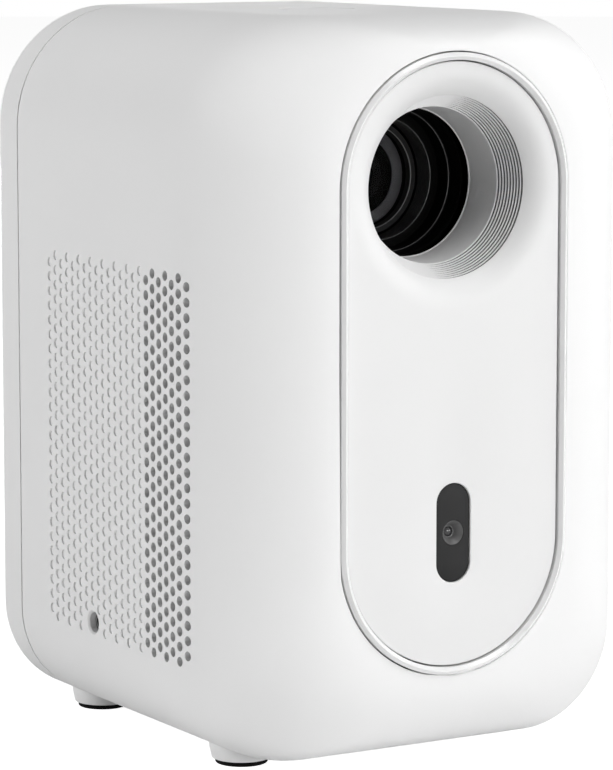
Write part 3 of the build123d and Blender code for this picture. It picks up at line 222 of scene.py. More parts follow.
def new_group(name: str, kind: str, inputs: SocketList, outputs: SocketList) -> Tree:
    """Makes an empty node group with named sockets.

    Args:
        name: The group's name.
        kind: The tree's type name.
        inputs: Names and socket kinds of the inputs.
        outputs: Names and socket kinds of the outputs.

    Returns:
        The wrapped group.
    """
    tree = bpy.data.node_groups.new(name, kind)
    for label, socket in inputs:
        tree.interface.new_socket(label, in_out="INPUT", socket_type=socket)
    for label, socket in outputs:
        tree.interface.new_socket(label, in_out="OUTPUT", socket_type=socket)
    return Tree(tree)


# Finishes

SOFT_DETAIL = 2.0
FINE_DETAIL = 3.0
DRIFT_SCALE = 22.0
FLOW_SCALE = 140.0
STAIN_SCALE = 60.0
BRUSH_STRETCH = (1.0, 1.0, 14.0)
TRACK_WIDTH = 0.12


class ShaderEffect(Enum):
    """Shader groups that several finishes share."""

    MOULD_GRAIN = "mould_grain"
    BRUSHING = "brushing"
    TRACES = "board_traces"

    @cache
    def group(self) -> bpy.types.NodeTree:
        """Builds the effect's node group at its first use.

        Returns:
            The group, which puts out a tone, a roughness and a height.
        """
        inputs = named(FLOAT, "Size", "Tone Spread", "Roughness", "Roughness Spread")
        outputs = named(FLOAT, "Tone", "Roughness", "Height")
        tree = new_group(self.value, "ShaderNodeTree", inputs, outputs)
        source = tree.add("NodeGroupInput").outputs
        where = tree.add("ShaderNodeTexCoord").outputs["Object"]
        scale = tree.math("DIVIDE", 1.0 / MM, source["Size"])
        makers = {
            ShaderEffect.MOULD_GRAIN: self._mould_grain,
            ShaderEffect.BRUSHING: self._brushing,
            ShaderEffect.TRACES: self._traces,
        }
        tone, gloss, height = makers[self](tree, scale, where)
        tone = self._spread(tree, 1.0, source["Tone Spread"], tone)
        gloss = self._spread(tree, source["Roughness"], source["Roughness Spread"], gloss)
        return tree.end({"Tone": tone, "Roughness": gloss, "Height": height})

    @staticmethod
    def _spread(tree: Tree, base: object, width: Socket, value: Socket) -> Socket:
        """Swings a base value by a noise value between nought and one."""
        swing = tree.math("MULTIPLY", tree.math("SUBTRACT", value, 0.5), width)
        return tree.math("ADD", base, swing)

    @staticmethod
    def _mould_grain(tree: Tree, scale: Socket, where: Socket) -> tuple[Socket, Socket, Socket]:
        """Fine even grain of moulded plastic with a soft drift in tone and gloss.

        Args:
            tree: The group's tree.
            scale: Scale of the grain.
            where: Object coordinates.

        Returns:
            Masks of the tone and the gloss, and the height.
        """
        drift = tree.noise(DRIFT_SCALE, SOFT_DETAIL, where)
        flow = tree.noise(FLOW_SCALE, FINE_DETAIL, where)
        return drift, flow, tree.noise(scale, SOFT_DETAIL, where)

    @staticmethod
    def _brushing(tree: Tree, scale: Socket, where: Socket) -> tuple[Socket, Socket, Socket]:
        """Fine lines of drawn or brushed metal.

        Args:
            tree: The group's tree.
            scale: Scale of the lines.
            where: Object coordinates.

        Returns:
            Masks of the tone and the gloss, and the height.
        """
        stretched = tree.put("ShaderNodeMapping", {"Vector": where, "Scale": BRUSH_STRETCH})
        lines = tree.noise(scale, FINE_DETAIL, stretched)
        return tree.noise(STAIN_SCALE, SOFT_DETAIL, where), lines, lines

    @staticmethod
    def _traces(tree: Tree, scale: Socket, where: Socket) -> tuple[Socket, Socket, Socket]:
        """Copper tracks that show through a board's lacquer.

        Args:
            tree: The group's tree.
            scale: Scale of the tracks.
            where: Object coordinates.

        Returns:
            Masks of the tone and the gloss, and the height.
        """
        cells = {"distance": "CHEBYCHEV", "feature": "DISTANCE_TO_EDGE"}
        edge = tree.put("ShaderNodeTexVoronoi", {"Vector": where, "Scale": scale}, "Distance", **cells)
        track = tree.math("LESS_THAN", edge, TRACK_WIDTH)
        return track, track, track


@dataclass(frozen=True)
class Finish:
    """One finish: a principled shader fed by a shared effect.

    Attributes:
        name: The material's name.
        slot: The record's slot that it stands for.
        colour: Base colour, linear.
        roughness: Mean roughness.
        effect: The shared shader effect.
        size: Size of the effect's detail, in millimetres.
        height: Height of the effect's relief, in millimetres.
        tone_spread: How far the colour drifts.
        roughness_spread: How far the roughness drifts.
        metallic: Metallic share.
        transmission: Share of light let through.
        ior: Index of refraction.
    """

    name: str
    slot: Slot
    colour: Colour
    roughness: float
    effect: ShaderEffect = ShaderEffect.MOULD_GRAIN
    size: float = 0.4
    height: float = 0.004
    tone_spread: float = 0.03
    roughness_spread: float = 0.08
    metallic: float = 0.0
    transmission: float = 0.0
    ior: float = 1.5

    @cache
    def material(self) -> bpy.types.Material:
        """Builds the material at its first use.

        Returns:
            The material.
        """
        material = bpy.data.materials.new(self.name)
        material.use_nodes = True
        tree = Tree(material.node_tree)
        effect = tree.add("ShaderNodeGroup", node_tree=self.effect.group())
        detail = {"Size": self.size, "Tone Spread": self.tone_spread}
        gloss = {"Roughness": self.roughness, "Roughness Spread": self.roughness_spread}
        tree.wire(effect, {**detail, **gloss})
        colour = (*self.colour, 1.0)
        mixed = {"Factor": 1.0, "A": colour, "B": effect.outputs["Tone"]}
        tint = tree.put("ShaderNodeMix", mixed, "Result", data_type="RGBA", blend_type="MULTIPLY")
        relief = {"Distance": self.height * MM, "Height": effect.outputs["Height"]}
        surface = {
            "Metallic": self.metallic,
            "Transmission Weight": self.transmission,
            "IOR": self.ior,
            "Base Color": tint,
            "Roughness": effect.outputs["Roughness"],
            "Normal": tree.put("ShaderNodeBump", relief, "Normal"),
        }
        tree.wire(material.node_tree.nodes["Principled BSDF"], surface)
        material.diffuse_color = colour
        return material


def grey(level: float) -> Colour:
    """A neutral colour."""
    return (level, level, level)


WHITE_SHELL = Finish(
    "white_moulded_shell", Slot.WHITE_SHELL, grey(0.885), 0.5, ior=1.06, size=0.35, height=0.003
)
WHITE_PANEL = Finish("white_satin_panel", Slot.PANEL_WHITE, grey(0.77), 0.5, size=0.3, height=0.003)
WHITE_TRIM = Finish("white_polished_trim", Slot.TRIM_WHITE, grey(0.80), 0.24, height=0.001)
SMOKED_WINDOW = Finish(
    "smoked_window", Slot.SMOKED, (0.012, 0.012, 0.0122), 0.5, ior=1.26, size=1.5, height=0.0005
)
CAMERA_GREY = Finish("camera_bowl_grey", Slot.BLACK_PLASTIC, grey(0.10), 0.4, height=0.002)
BLACK_PLASTIC = Finish("black_moulded_plastic", Slot.BLACK_PLASTIC, grey(0.012), 0.38)
BARREL_BLACK = Finish("lens_barrel_black", Slot.BLACK_PLASTIC, grey(0.002), 0.5, ior=1.12, height=0.002)
# The step edges' lighter grey is a painted highlight; their lower roughness is real polish.
POLISHED_EDGE_HIGHLIGHT = Finish("polished_edge_black", Slot.BLACK_PLASTIC, grey(0.07), 0.22, height=0.0)
# The lens ring edge's lighter grey is a painted highlight; its lower roughness is real polish.
RING_PAINTED_HIGHLIGHT = Finish("polished_ring_edge", Slot.BLACK_ANODISED, grey(0.16), 0.3, height=0.0)
CELL_GREY = Finish("lens_cell_grey", Slot.BLACK_PLASTIC, grey(0.075), 0.5, height=0.002)
BLASTED_BLACK = Finish("blasted_black", Slot.BLACK_ANODISED, grey(0.05), 0.3, size=0.4, height=0.5)
# Painted shade: a dark grey lining laid in the white funnel's grooves, where there is only shade.
GROOVE_PAINTED_SHADE = Finish("funnel_groove_grey", Slot.PANEL_WHITE, grey(0.12), 0.6, ior=1.2, height=0.002)
CAMERA_LENS = Finish("camera_lens_gloss", Slot.GLASS, (0.02, 0.02, 0.022), 0.06, height=0.0)
RING_BLACK = Finish(
    "black_anodised_ring", Slot.BLACK_ANODISED, grey(0.012), 0.36, ShaderEffect.BRUSHING, ior=1.25
)
RUBBER = Finish("foot_rubber", Slot.RUBBER, grey(0.004), 0.7, ior=1.12, size=0.5, height=0.02)
STEEL = Finish(
    "zinc_plated_steel", Slot.STEEL, (0.52, 0.52, 0.53), 0.34, ShaderEffect.BRUSHING, metallic=1.0
)
BRASS = Finish("turned_brass", Slot.BRASS, (0.68, 0.50, 0.22), 0.3, ShaderEffect.BRUSHING, metallic=1.0)
ALUMINIUM = Finish(
    "extruded_aluminium", Slot.ALUMINIUM, (0.66, 0.67, 0.68), 0.4, ShaderEffect.BRUSHING, metallic=1.0
)
BOARD = Finish(
    "green_board_lacquer",
    Slot.BOARD,
    (0.02, 0.12, 0.05),
    0.35,
    ShaderEffect.TRACES,
    size=2.4,
    height=0.02,
    tone_spread=0.5,
    roughness_spread=0.1,
)
LENS_GLASS = Finish(
    "coated_lens_glass", Slot.GLASS, (0.7, 0.7, 0.72), 0.02, transmission=1.0, ior=1.2, height=0.0
)
SHEET_LENS = Finish("clear_lens_sheet", Slot.LENS_SHEET, grey(0.95), 0.08, transmission=1.0, height=0.01)
MIRROR = Finish("front_mirror", Slot.MIRROR, grey(0.9), 0.03, metallic=1.0, height=0.0, tone_spread=0.01)
NYLON = Finish("natural_nylon", Slot.NYLON, (0.70, 0.67, 0.58), 0.5)
PAPER_CONE = Finish("pressed_paper", Slot.PAPER, grey(0.035), 0.85, size=0.9, height=0.06)

SLOT_FINISHES = {
    finish.slot: finish
    for finish in (
        WHITE_SHELL, WHITE_PANEL, WHITE_TRIM, SMOKED_WINDOW, BLACK_PLASTIC, RING_BLACK, RUBBER, STEEL,
        BRASS, ALUMINIUM, BOARD, LENS_GLASS, SHEET_LENS, MIRROR, NYLON, PAPER_CONE,
    )
}


# Meshes


@dataclass(frozen=True)
class NodeBox:
    """A CAD node's box at rest, in millimetres.

    Attributes:
        low: The lowest corner.
        high: The highest corner.
    """

    low: Point
    high: Point

    @classmethod
    def of(cls, node: str) -> "NodeBox":
        """Reads a node's box from the frame."""
        low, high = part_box(node)
        return cls(tuple(value / MM for value in low), tuple(value / MM for value in high))

    @property
    def middle(self) -> Point:
        """The box's middle."""
        return tuple((low + high) / 2 for low, high in zip(self.low, self.high))


class Skin:
    """A mesh in the making: points in millimetres, faces and flat fills."""

    def __init__(self) -> None:
        """Starts with nothing."""
        self.points: list[Point] = []
        self.faces: list[tuple[int, ...]] = []
        self.fills: list[list[list[int]]] = []

    def ring(self, points: Iterable[Point]) -> list[int]:
        """Adds a closed row of points.

        Args:
            points: The points, round the row.

        Returns:
            Their numbers.
        """
        start = len(self.points)
        self.points.extend(points)
        return list(range(start, len(self.points)))

    def bridge(self, first: Sequence[int], second: Sequence[int]) -> None:
        """Joins two closed rows with four-sided faces.

        Args:
            first: The numbers of one row's points.
            second: Those of a row with as many points.
        """
        for place, corner in enumerate(first):
            after = (place + 1) % len(first)
            self.faces.append((corner, first[after], second[after], second[place]))

    def loft(self, rows: Iterable[Iterable[Point]]) -> list[list[int]]:
        """Adds closed rows of points and joins each to the next.

        Args:
            rows: The rows, each with as many points.

        Returns:
            The numbers of the points in each row.
        """
        rings = [self.ring(row) for row in rows]
        for first, second in zip(rings, rings[1:]):
            self.bridge(first, second)
        return rings

    def loop(self, rows: Iterable[Iterable[Point]]) -> None:
        """Adds closed rows as a loft does, and joins the last to the first."""
        rings = self.loft(rows)
        self.bridge(rings[-1], rings[0])

    def plug(self, rows: Iterable[Iterable[Point]]) -> None:
        """Adds closed rows as a loft does, and closes both ends flat.

        Args:
            rows: The rows, each with as many points.
        """
        rings = self.loft(rows)
        self.cap(rings[0])
        self.cap(rings[-1])

    def cap(self, ring: Sequence[int]) -> None:
        """Closes a row with one flat face."""
        self.faces.append(tuple(ring))

    def fill(self, *loops: list[int]) -> None:
        """Fills the flat area between an outer row and the rows inside it."""
        self.fills.append(list(loops))

    def mesh(self, name: str) -> bpy.types.Mesh:
        """Makes the mesh, in metres, with merged points and outward faces.

        Args:
            name: The mesh's name.

        Returns:
            The new mesh.
        """
        form = bmesh.new()
        corners = [form.verts.new(Vector(point) * MM) for point in self.points]
        for face in self.faces:
            form.faces.new([corners[number] for number in face])
        for loops in self.fills:
            edges = []
            for loop in loops:
                for place, number in enumerate(loop):
                    pair = (corners[number], corners[loop[(place + 1) % len(loop)]])
                    edges.append(form.edges.get(pair) or form.edges.new(pair))
            bmesh.ops.triangle_fill(form, edges=edges, use_beauty=True)
        bmesh.ops.remove_doubles(form, verts=form.verts, dist=MERGE_DISTANCE)
        bmesh.ops.dissolve_degenerate(form, edges=form.edges, dist=MERGE_DISTANCE)
        bmesh.ops.recalc_face_normals(form, faces=form.faces)
        mesh = bpy.data.meshes.new(name)
        form.to_mesh(mesh)
        form.free()
        return mesh

    def piece(self, name: str, sharp: float = SHARP_ANGLE) -> bpy.types.Object:
        """Makes a shaded piece in the scene, with edges from a least angle shown sharp."""
        return add_piece(name, self.mesh(name), sharp)


def add_piece(name: str, mesh: bpy.types.Mesh, sharp: float = SHARP_ANGLE) -> bpy.types.Object:
    """Puts a mesh into the scene with smooth shading and sharp edges.

    Args:
        name: The piece's name.
        mesh: Its mesh, in place.
        sharp: The least angle of an edge that is shown sharp, in degrees.

    Returns:
        The new object.
    """
    mesh.shade_smooth()
    mesh.set_sharp_from_angle(angle=math.radians(sharp))
    piece = bpy.data.objects.new(name, mesh)
    bpy.context.scene.collection.objects.link(piece)
    return piece


def settle(piece: bpy.types.Object, finish: Finish, body: Body, *nodes: str) -> None:
    """Gives a piece its finish and its place in the frame.

    Args:
        piece: The new piece.
        finish: Its finish.
        body: The body that it moves with.
        nodes: The CAD nodes that it stands for.
    """
    piece.data.materials.clear()
    piece.data.materials.append(finish.material())
    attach(piece, body.value)
    if nodes:
        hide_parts(*nodes)
    LOG.info("%s: %d faces on %s", piece.name, len(piece.data.polygons), body.value)


@dataclass(frozen=True)
class Oval:
    """An upright outline of two half circles joined by straight sides.

    Attributes:
        x: Middle along X.
        z: Middle along Z.
        straight: Half the distance between the two arcs' middles.
        steps: Steps along each half circle.
    """

    x: float
    z: float
    straight: float = 0.0
    steps: int = 48

    def row(self, radius: float, y: float) -> list[Point]:
        """Points of the outline at a radius and a depth.

        Args:
            radius: Radius of the half circles.
            y: Where the outline lies along Y.

        Returns:
            The points, round the outline.
        """
        points = []
        last = 1 if self.straight else 0
        for sense in (1, -1):
            for step in range(self.steps + last):
                angle = math.pi * step / self.steps
                x = self.x + sense * radius * math.cos(angle)
                z = self.z + sense * (self.straight + radius * math.sin(angle))
                points.append((x, y, z))
        return points

    def rows(self, profile: Profile) -> list[list[Point]]:
        """Rows for each radius and Y of a profile."""
        return [self.row(radius, y) for radius, y in profile]

    def onto(self, point: Point, radius: float, y: float) -> Point:
        """The place on the outline that lies square to a point outside it.

        Args:
            point: The point outside.
            radius: Radius of the half circles.
            y: Where the outline lies along Y.

        Returns:
            The place.
        """
        spine = min(max(point[2], self.z - self.straight), self.z + self.straight)
        away = Vector((point[0] - self.x, point[2] - spine)).normalized() * radius
        return (self.x + away.x, y, spine + away.y)


def rounded(radius: float, start: float, end: float, steps: int) -> list[tuple[float, float]]:
    """Points of an arc about the origin.

    Args:
        radius: The arc's radius.
        start: Angle of the first point, in degrees.
        end: Angle of the last point, in degrees.
        steps: Number of steps.

    Returns:
        The points, both ends included.
    """
    angles = [math.radians(start + (end - start) * step / steps) for step in range(steps + 1)]
    return [(radius * math.cos(angle), radius * math.sin(angle)) for angle in angles]


def circle(radius: float, sides: int) -> list[tuple[float, float]]:
    """Points of a full circle about the origin."""
    return rounded(radius, 0.0, 360.0 * (1 - 1 / sides), sides - 1)


# Repeated forms by geometry nodes

BODY_INPUTS = [("Body", GEOMETRY), ("Cutter", OBJECT), ("Finish", MATERIAL)]
GRID_COUNTS = ("First Column", "Columns", "Rows")
GRID_SIZES = ("Wall", "Side", "Rear", "Top", "Column Pitch", "Row Pitch", "Gap Y", "Gap Z", "Gap Radius")
GRID_INPUTS = named(INTEGER, *GRID_COUNTS) + named(FLOAT, *GRID_SIZES)


@cache
def grid_group() -> bpy.types.NodeTree:
    """A group that lays points on a staggered grid on one side of the body.

    Returns:
        The node group.
    """
    tree = new_group("staggered_grid", "GeometryNodeTree", GRID_INPUTS, named(GEOMETRY, "Points"))
    source = tree.add("NodeGroupInput").outputs
    longest = tree.math("ADD", source["Rows"], 1.0)
    points = tree.put("GeometryNodePoints", {"Count": tree.math("MULTIPLY", source["Columns"], longest)})
    index = tree.add("GeometryNodeInputIndex").outputs[0]
    passed = tree.math("FLOOR", tree.math("DIVIDE", index, longest))
    column = tree.math("ADD", source["First Column"], passed)
    row = tree.math("MODULO", index, longest)
    even = tree.math("SUBTRACT", 1.0, tree.math("MODULO", column, 2.0))
    steps = tree.math("ADD", tree.math("MULTIPLY", row, 2.0), even)
    y = tree.math("SUBTRACT", source["Rear"], tree.math("MULTIPLY", column, source["Column Pitch"]))
    z = tree.math("SUBTRACT", source["Top"], tree.math("MULTIPLY", steps, source["Row Pitch"]))
    place = tree.vector(tree.math("MULTIPLY", source["Wall"], source["Side"]), y, z)
    moved = tree.put("GeometryNodeSetPosition", {"Geometry": points, "Position": place})
    surplus = tree.math("GREATER_THAN", tree.math("ADD", row, even), tree.math("SUBTRACT", longest, 0.5))
    across = tree.math("SUBTRACT", y, source["Gap Y"])
    up = tree.math("SUBTRACT", z, source["Gap Z"])
    squares = tree.math("ADD", tree.math("MULTIPLY", across, across), tree.math("MULTIPLY", up, up))
    covered = tree.math("LESS_THAN", tree.math("SQRT", squares), source["Gap Radius"])
    dropped = {"Geometry": moved, "Selection": tree.math("ADD", surplus, covered)}
    return tree.end({"Points": tree.put("GeometryNodeDeleteGeometry", dropped, domain="POINT")})


@cache
def vent_tree() -> bpy.types.NodeTree:
    """A tree that cuts one form out of the body at each point of the staggered grid.

    Returns:
        The node tree.
    """
    inputs = BODY_INPUTS + GRID_INPUTS
    tree = new_group("vent_cutting", "GeometryNodeTree", inputs, named(GEOMETRY, "Body"))
    source = tree.add("NodeGroupInput").outputs
    grid_values = {label: source[label] for label, _ in GRID_INPUTS}
    grid = tree.put("GeometryNodeGroup", grid_values, node_tree=grid_group())
    cutter = tree.put("GeometryNodeObjectInfo", {"Object": source["Cutter"]}, "Geometry")
    half_turn = tree.math("MULTIPLY", tree.math("GREATER_THAN", source["Side"], 0.0), math.pi)
    turn = tree.put("FunctionNodeEulerToRotation", {0: tree.vector(0.0, 0.0, half_turn)})
    placed = {"Points": grid, "Instance": cutter, "Rotation": turn}
    copies = tree.put("GeometryNodeInstanceOnPoints", placed)
    tools = tree.put("GeometryNodeRealizeInstances", {"Geometry": copies})
    return tree.end({"Body": tree.dressed(tree.cut(source["Body"], tools), source["Finish"])})


@cache
def opening_tree() -> bpy.types.NodeTree:
    """A tree that cuts one form, already in place, out of a body.

    Returns:
        The node tree.
    """
    tree = new_group("opening_cutting", "GeometryNodeTree", BODY_INPUTS, named(GEOMETRY, "Body"))
    source = tree.add("NodeGroupInput").outputs
    tool = tree.put("GeometryNodeObjectInfo", {"Object": source["Cutter"]}, "Geometry")
    return tree.end({"Body": tree.dressed(tree.cut(source["Body"], tool), source["Finish"])})


def turned(
    name: str, profile: Profile, axis: Axis, sides: int, start: Point = ORIGIN
) -> bpy.types.Object:
    """A closed turned form.

    Args:
        name: The form's name.
        profile: Radius and distance along the axis, from end to end.
        axis: The axis that it turns about.
        sides: Steps round the form.
        start: Where distance nought lies.

    Returns:
        The form, linked to the scene.
    """
    rows = []
    for radius, along in profile:
        row = circle(radius, sides)
        points = [(along, *point) if axis is Axis.X else (*point, along) for point in row]
        rows.append([tuple(value + shift for value, shift in zip(point, start)) for point in points])
    skin = Skin()
    skin.plug(rows)
    return skin.piece(name)


def add_modifier(piece: bpy.types.Object, tree: bpy.types.NodeTree, values: dict[str, object]) -> None:
    """Adds a geometry nodes modifier and sets its inputs by their identifiers.

    Args:
        piece: The object that gets the modifier.
        tree: The node tree.
        values: Input values by socket name.
    """
    modifier = piece.modifiers.new(tree.name, "NODES")
    modifier.node_group = tree
    for item in tree.interface.items_tree:
        if item.in_out == "INPUT" and item.name in values:
            modifier[item.identifier] = values[item.name]


def freeze(piece: bpy.types.Object, name: str) -> bpy.types.Object:
    """Turns an object with modifiers into a plain piece and removes the object.

    Args:
        piece: The object with its modifiers.
        name: The new piece's name.

    Returns:
        The plain piece.
    """
    graph = bpy.context.evaluated_depsgraph_get()
    mesh = bpy.data.meshes.new_from_object(piece.evaluated_get(graph))
    mesh.name = name
    bpy.data.objects.remove(piece)
    return add_piece(name, mesh)


# Casing


@dataclass
class Vents:
    """Holes and dimples in a staggered grid on the body's sides.

    Attributes:
        pitch: Distance between neighbouring holes.
        radius: Radius of a hole.
        rear_depth: Depth of the rearmost column behind the front face.
        top_rise: Height of the top row above the panel's middle.
        columns: Number of columns.
        open_columns: How many of them, at the front, go right through.
        rows: Holes in an even column; odd ones have one more.
        dimple_depth: Depth of a blind hole.
        lip: Chamfer at a hole's edge.
        socket_gap: Room kept free round the audio socket.
        sides: Steps round a hole.
    """

    pitch: float = 4.0
    radius: float = 1.3
    rear_depth: float = 103.55
    top_rise: float = 23.57
    columns: int = 23
    open_columns: int = 7
    rows: int = 25
    dimple_depth: float = 0.55
    lip: float = 0.1
    socket_gap: float = 4.2
    sides: int = 20

    def cutter(self, name: str, depth: float) -> bpy.types.Object:
        """A turned form that cuts one hole, with its mouth at the origin and its end along +X.

        The mouth's chamfer runs on past the face, so that the cut is clean.

        Args:
            name: The form's name.
            depth: The hole's depth.

        Returns:
            The form, linked to the scene.
        """
        mouth = (self.radius + 3 * self.lip, -2 * self.lip)
        profile = [mouth, (self.radius, self.lip), (self.radius, depth)]
        return turned(name, profile, Axis.X, self.sides)

    def inputs(self, body: "Casing", side: Side, first: int, count: int) -> dict[str, object]:
        """Values for the vent tree, in metres.

        Args:
            body: The casing.
            side: The side that is cut.
            first: The first column.
            count: Number of columns.

        Returns:
            Values by input name.
        """
        lengths = {
            "Wall": body.half_width,
            "Rear": body.front + self.rear_depth,
            "Top": body.panel_z + self.top_rise,
            "Column Pitch": self.pitch * math.sqrt(3) / 2,
            "Row Pitch": self.pitch / 2,
            "Gap Y": body.socket[1],
            "Gap Z": body.socket[2],
            "Gap Radius": self.socket_gap if side is Side.LEFT else 0.0,
        }
        metres = {label: length * MM for label, length in lengths.items()}
        counts = {"First Column": first, "Columns": count, "Rows": self.rows}
        return {**metres, **counts, "Side": float(side.value)}

    def cut(self, piece: bpy.types.Object, body: "Casing", finish: Finish) -> bpy.types.Object:
        """Cuts all holes and dimples into the casing.

        Args:
            piece: The casing without holes.
            body: Its sizes.
            finish: Its finish.

        Returns:
            The casing with holes, as a plain piece.
        """
        through = self.cutter("hole_cutter", 3 * body.wall)
        dimple = self.cutter("dimple_cutter", self.dimple_depth)
        blind = self.columns - self.open_columns
        for side in Side:
            for form, first, count in ((dimple, 0, blind), (through, blind, self.open_columns)):
                values = self.inputs(body, side, first, count)
                add_modifier(piece, vent_tree(), {**values, "Cutter": form, "Finish": finish.material()})
        openings = body.openings()
        for form in openings:
            add_modifier(piece, opening_tree(), {"Cutter": form, "Finish": finish.material()})
        name = piece.name
        piece.name = name + "_blank"
        plain = freeze(piece, name)
        for form in (through, dimple, *openings):
            bpy.data.objects.remove(form)
        return plain


@dataclass
class Casing:
    """The body's shell with its rounded front and its vents.

    Attributes:
        wall: Thickness of the shell.
        top_radius: Radius of the upper corners.
        bottom_radius: Radius of the lower corners.
        side_round: How far back the sides' front rounding reaches.
        top_round: How far back the top's front rounding reaches.
        bottom_round: How far back the bottom's front rounding reaches.
        land: Flat land round the panel's hole.
        ring_gap: Gap between the hole and the trim ring.
        lip: Rounding of the hole's and the seam's edge.
        hole_depth: Depth of the hole's wall.
        inner_start: Depth at which the inside of the shell starts.
        socket_radius: Radius of the audio socket's opening.
        socket_lip: Chamfer of that opening.
        button_hole: Radius of the button's hole.
        bush_hole: Radius of the tripod bush's hole.
        arc_steps: Steps along a corner.
        round_steps: Steps along the front rounding.
        lip_steps: Steps along the rounding of an edge.
        hole_sides: Steps round the openings for the socket, the button and the bush.
        shares: Places of the extra points along a straight stretch, as shares of it.
        margin: How far the extra rows lie from the ends of the straight sides.
        vents: The vents in both sides.
    """

    wall: float = WALL
    top_radius: float = 33.0
    bottom_radius: float = 27.0
    side_round: float = 34.3
    top_round: float = 27.0
    bottom_round: float = 26.3
    land: float = 0.7
    ring_gap: float = 0.25
    lip: float = 0.3
    hole_depth: float = 5.5
    inner_start: float = 9.0
    socket_radius: float = 2.85
    socket_lip: float = 0.5
    button_hole: float = 10.25
    bush_hole: float = 5.6
    arc_steps: int = 24
    round_steps: int = 30
    lip_steps: int = 4
    hole_sides: int = 64
    shares: tuple[float, ...] = (0.02, 0.5, 0.98)
    margin: float = 1.0
    vents: Vents = field(default_factory=Vents)

    def __post_init__(self) -> None:
        """Reads the places that the frame gives."""
        cover = NodeBox.of("back_cover")
        ring = NodeBox.of("trim_ring")
        shell = NodeBox.of("main_housing")
        self.half_width = cover.high[0]
        self.low = cover.low[2]
        self.high = cover.high[2]
        self.front = shell.low[1]
        self.end = shell.high[1] - self.front
        self.panel_z = ring.middle[2]
        self.ring_half_width = ring.high[0]
        self.ring_half_height = ring.high[2] - self.panel_z
        self.socket = NodeBox.of("audio_jack").middle
        self.outline = Oval(0.0, self.panel_z, self.ring_half_height - self.ring_half_width)

    @staticmethod
    def _drawn_in(width: float, reach: float, depth: float) -> float:
        """How far the outline draws in at a depth, along a quarter ellipse."""
        slope = max(1.0 - depth / reach, 0.0)
        return width * (1.0 - math.sqrt(1.0 - slope**2))

    def section(self, depth: float, inset: float = 0.0) -> list[Point]:
        """The body's outline at a depth.

        Args:
            depth: Distance behind the front face.
            inset: How far the outline is drawn in all round.

        Returns:
            The outline's points, with extra ones near the ends of straight stretches.
        """
        behind = depth - inset
        side = self.half_width - self.ring_half_width - self.land
        top = self.high - self.panel_z - self.ring_half_height - self.land
        bottom = self.panel_z - self.ring_half_height - self.land - self.low
        half = self.half_width - inset - self._drawn_in(side, self.side_round - inset, behind)
        low = self.low + inset + self._drawn_in(bottom, self.bottom_round - inset, behind)
        high = self.high - inset - self._drawn_in(top, self.top_round - inset, behind)
        lower = self.bottom_radius - inset
        upper = self.top_radius - inset
        corners = [
            (half - lower, low + lower, lower, -90.0),
            (half - upper, high - upper, upper, 0.0),
            (upper - half, high - upper, upper, 90.0),
            (lower - half, low + lower, lower, 180.0),
        ]
        points = []
        for place, (x, z, radius, start) in enumerate(corners):
            arc = rounded(radius, start, start + 90.0, self.arc_steps)
            points += [(x + across, z + up) for across, up in arc]
            after_x, after_z, after_radius, after_start = corners[(place + 1) % len(corners)]
            across, up = rounded(after_radius, after_start, after_start, 1)[0]
            first, last = Vector(points[-1]), Vector((after_x + across, after_z + up))
            points += [tuple(first.lerp(last, share)) for share in self.shares]
        return [(x, self.front + depth, z) for x, z in points]

    def _shell(self) -> Skin:
        """The closed shell without its openings.

        Returns:
            The shell's mesh in the making.
        """
        reach = max(self.side_round, self.top_round, self.bottom_round)
        turns = [math.pi / 2 * step / self.round_steps for step in range(self.round_steps + 1)]
        depths = [reach * (1.0 - math.cos(turn)) for turn in turns]
        front = self.section(0.0)
        hole = self.ring_half_width + self.ring_gap
        edge = rounded(self.lip, 0.0, 90.0, self.lip_steps)
        wall = [(hole, self.hole_depth)]
        wall += [(hole + self.lip - across, self.lip - up) for across, up in edge]
        rows = [
            [self.outline.onto(point, radius, self.front + depth) for point in front]
            for radius, depth in wall
        ]
        straight = (reach + self.margin, (reach + self.end) / 2, self.end - self.margin)
        rows += [self.section(depth) for depth in (*depths, *straight)]
        rows += [self.section(self.end - self.lip + inset, self.lip - back) for back, inset in edge]
        rows.append(self.section(self.end, self.wall))
        inner = [depth for depth in depths if depth > self.inner_start]
        rows += [self.section(depth, self.wall) for depth in reversed([self.inner_start, *inner])]
        skin = Skin()
        skin.loop(rows)
        return skin

    def openings(self) -> list[bpy.types.Object]:
        """Forms of the openings for the audio socket, the button and the tripod bush.

        Returns:
            The forms, in place.
        """
        deep, lip, edge = 2 * self.wall, self.socket_lip, self.lip
        button, bush = NodeBox.of("power_button").middle, NodeBox.of("tripod_bush").middle
        mouth = (self.socket_radius + 2 * lip, -lip)
        socket_profile = [mouth, (self.socket_radius, lip), (self.socket_radius, deep)]
        brim = (self.button_hole + 2 * edge, edge)
        button_profile = [(self.button_hole, -deep), (self.button_hole, -edge), brim]
        bush_profile = [(self.bush_hole, -deep), (self.bush_hole, deep)]
        forms = {
            "socket_cutter": (socket_profile, Axis.X, (-self.half_width, *self.socket[1:])),
            "button_cutter": (button_profile, Axis.Z, (*button[:2], self.high)),
            "bush_cutter": (bush_profile, Axis.Z, (*bush[:2], self.low)),
        }
        return [
            turned(name, profile, axis, self.hole_sides, start)
            for name, (profile, axis, start) in forms.items()
        ]

    def build(self) -> None:
        """Builds the shell, cuts its openings and puts it into the frame."""
        blank = self._shell().piece("main_housing_skin")
        piece = self.vents.cut(blank, self, WHITE_SHELL)
        settle(piece, WHITE_SHELL, Body.PROJECTOR, "main_housing")


# Front panel


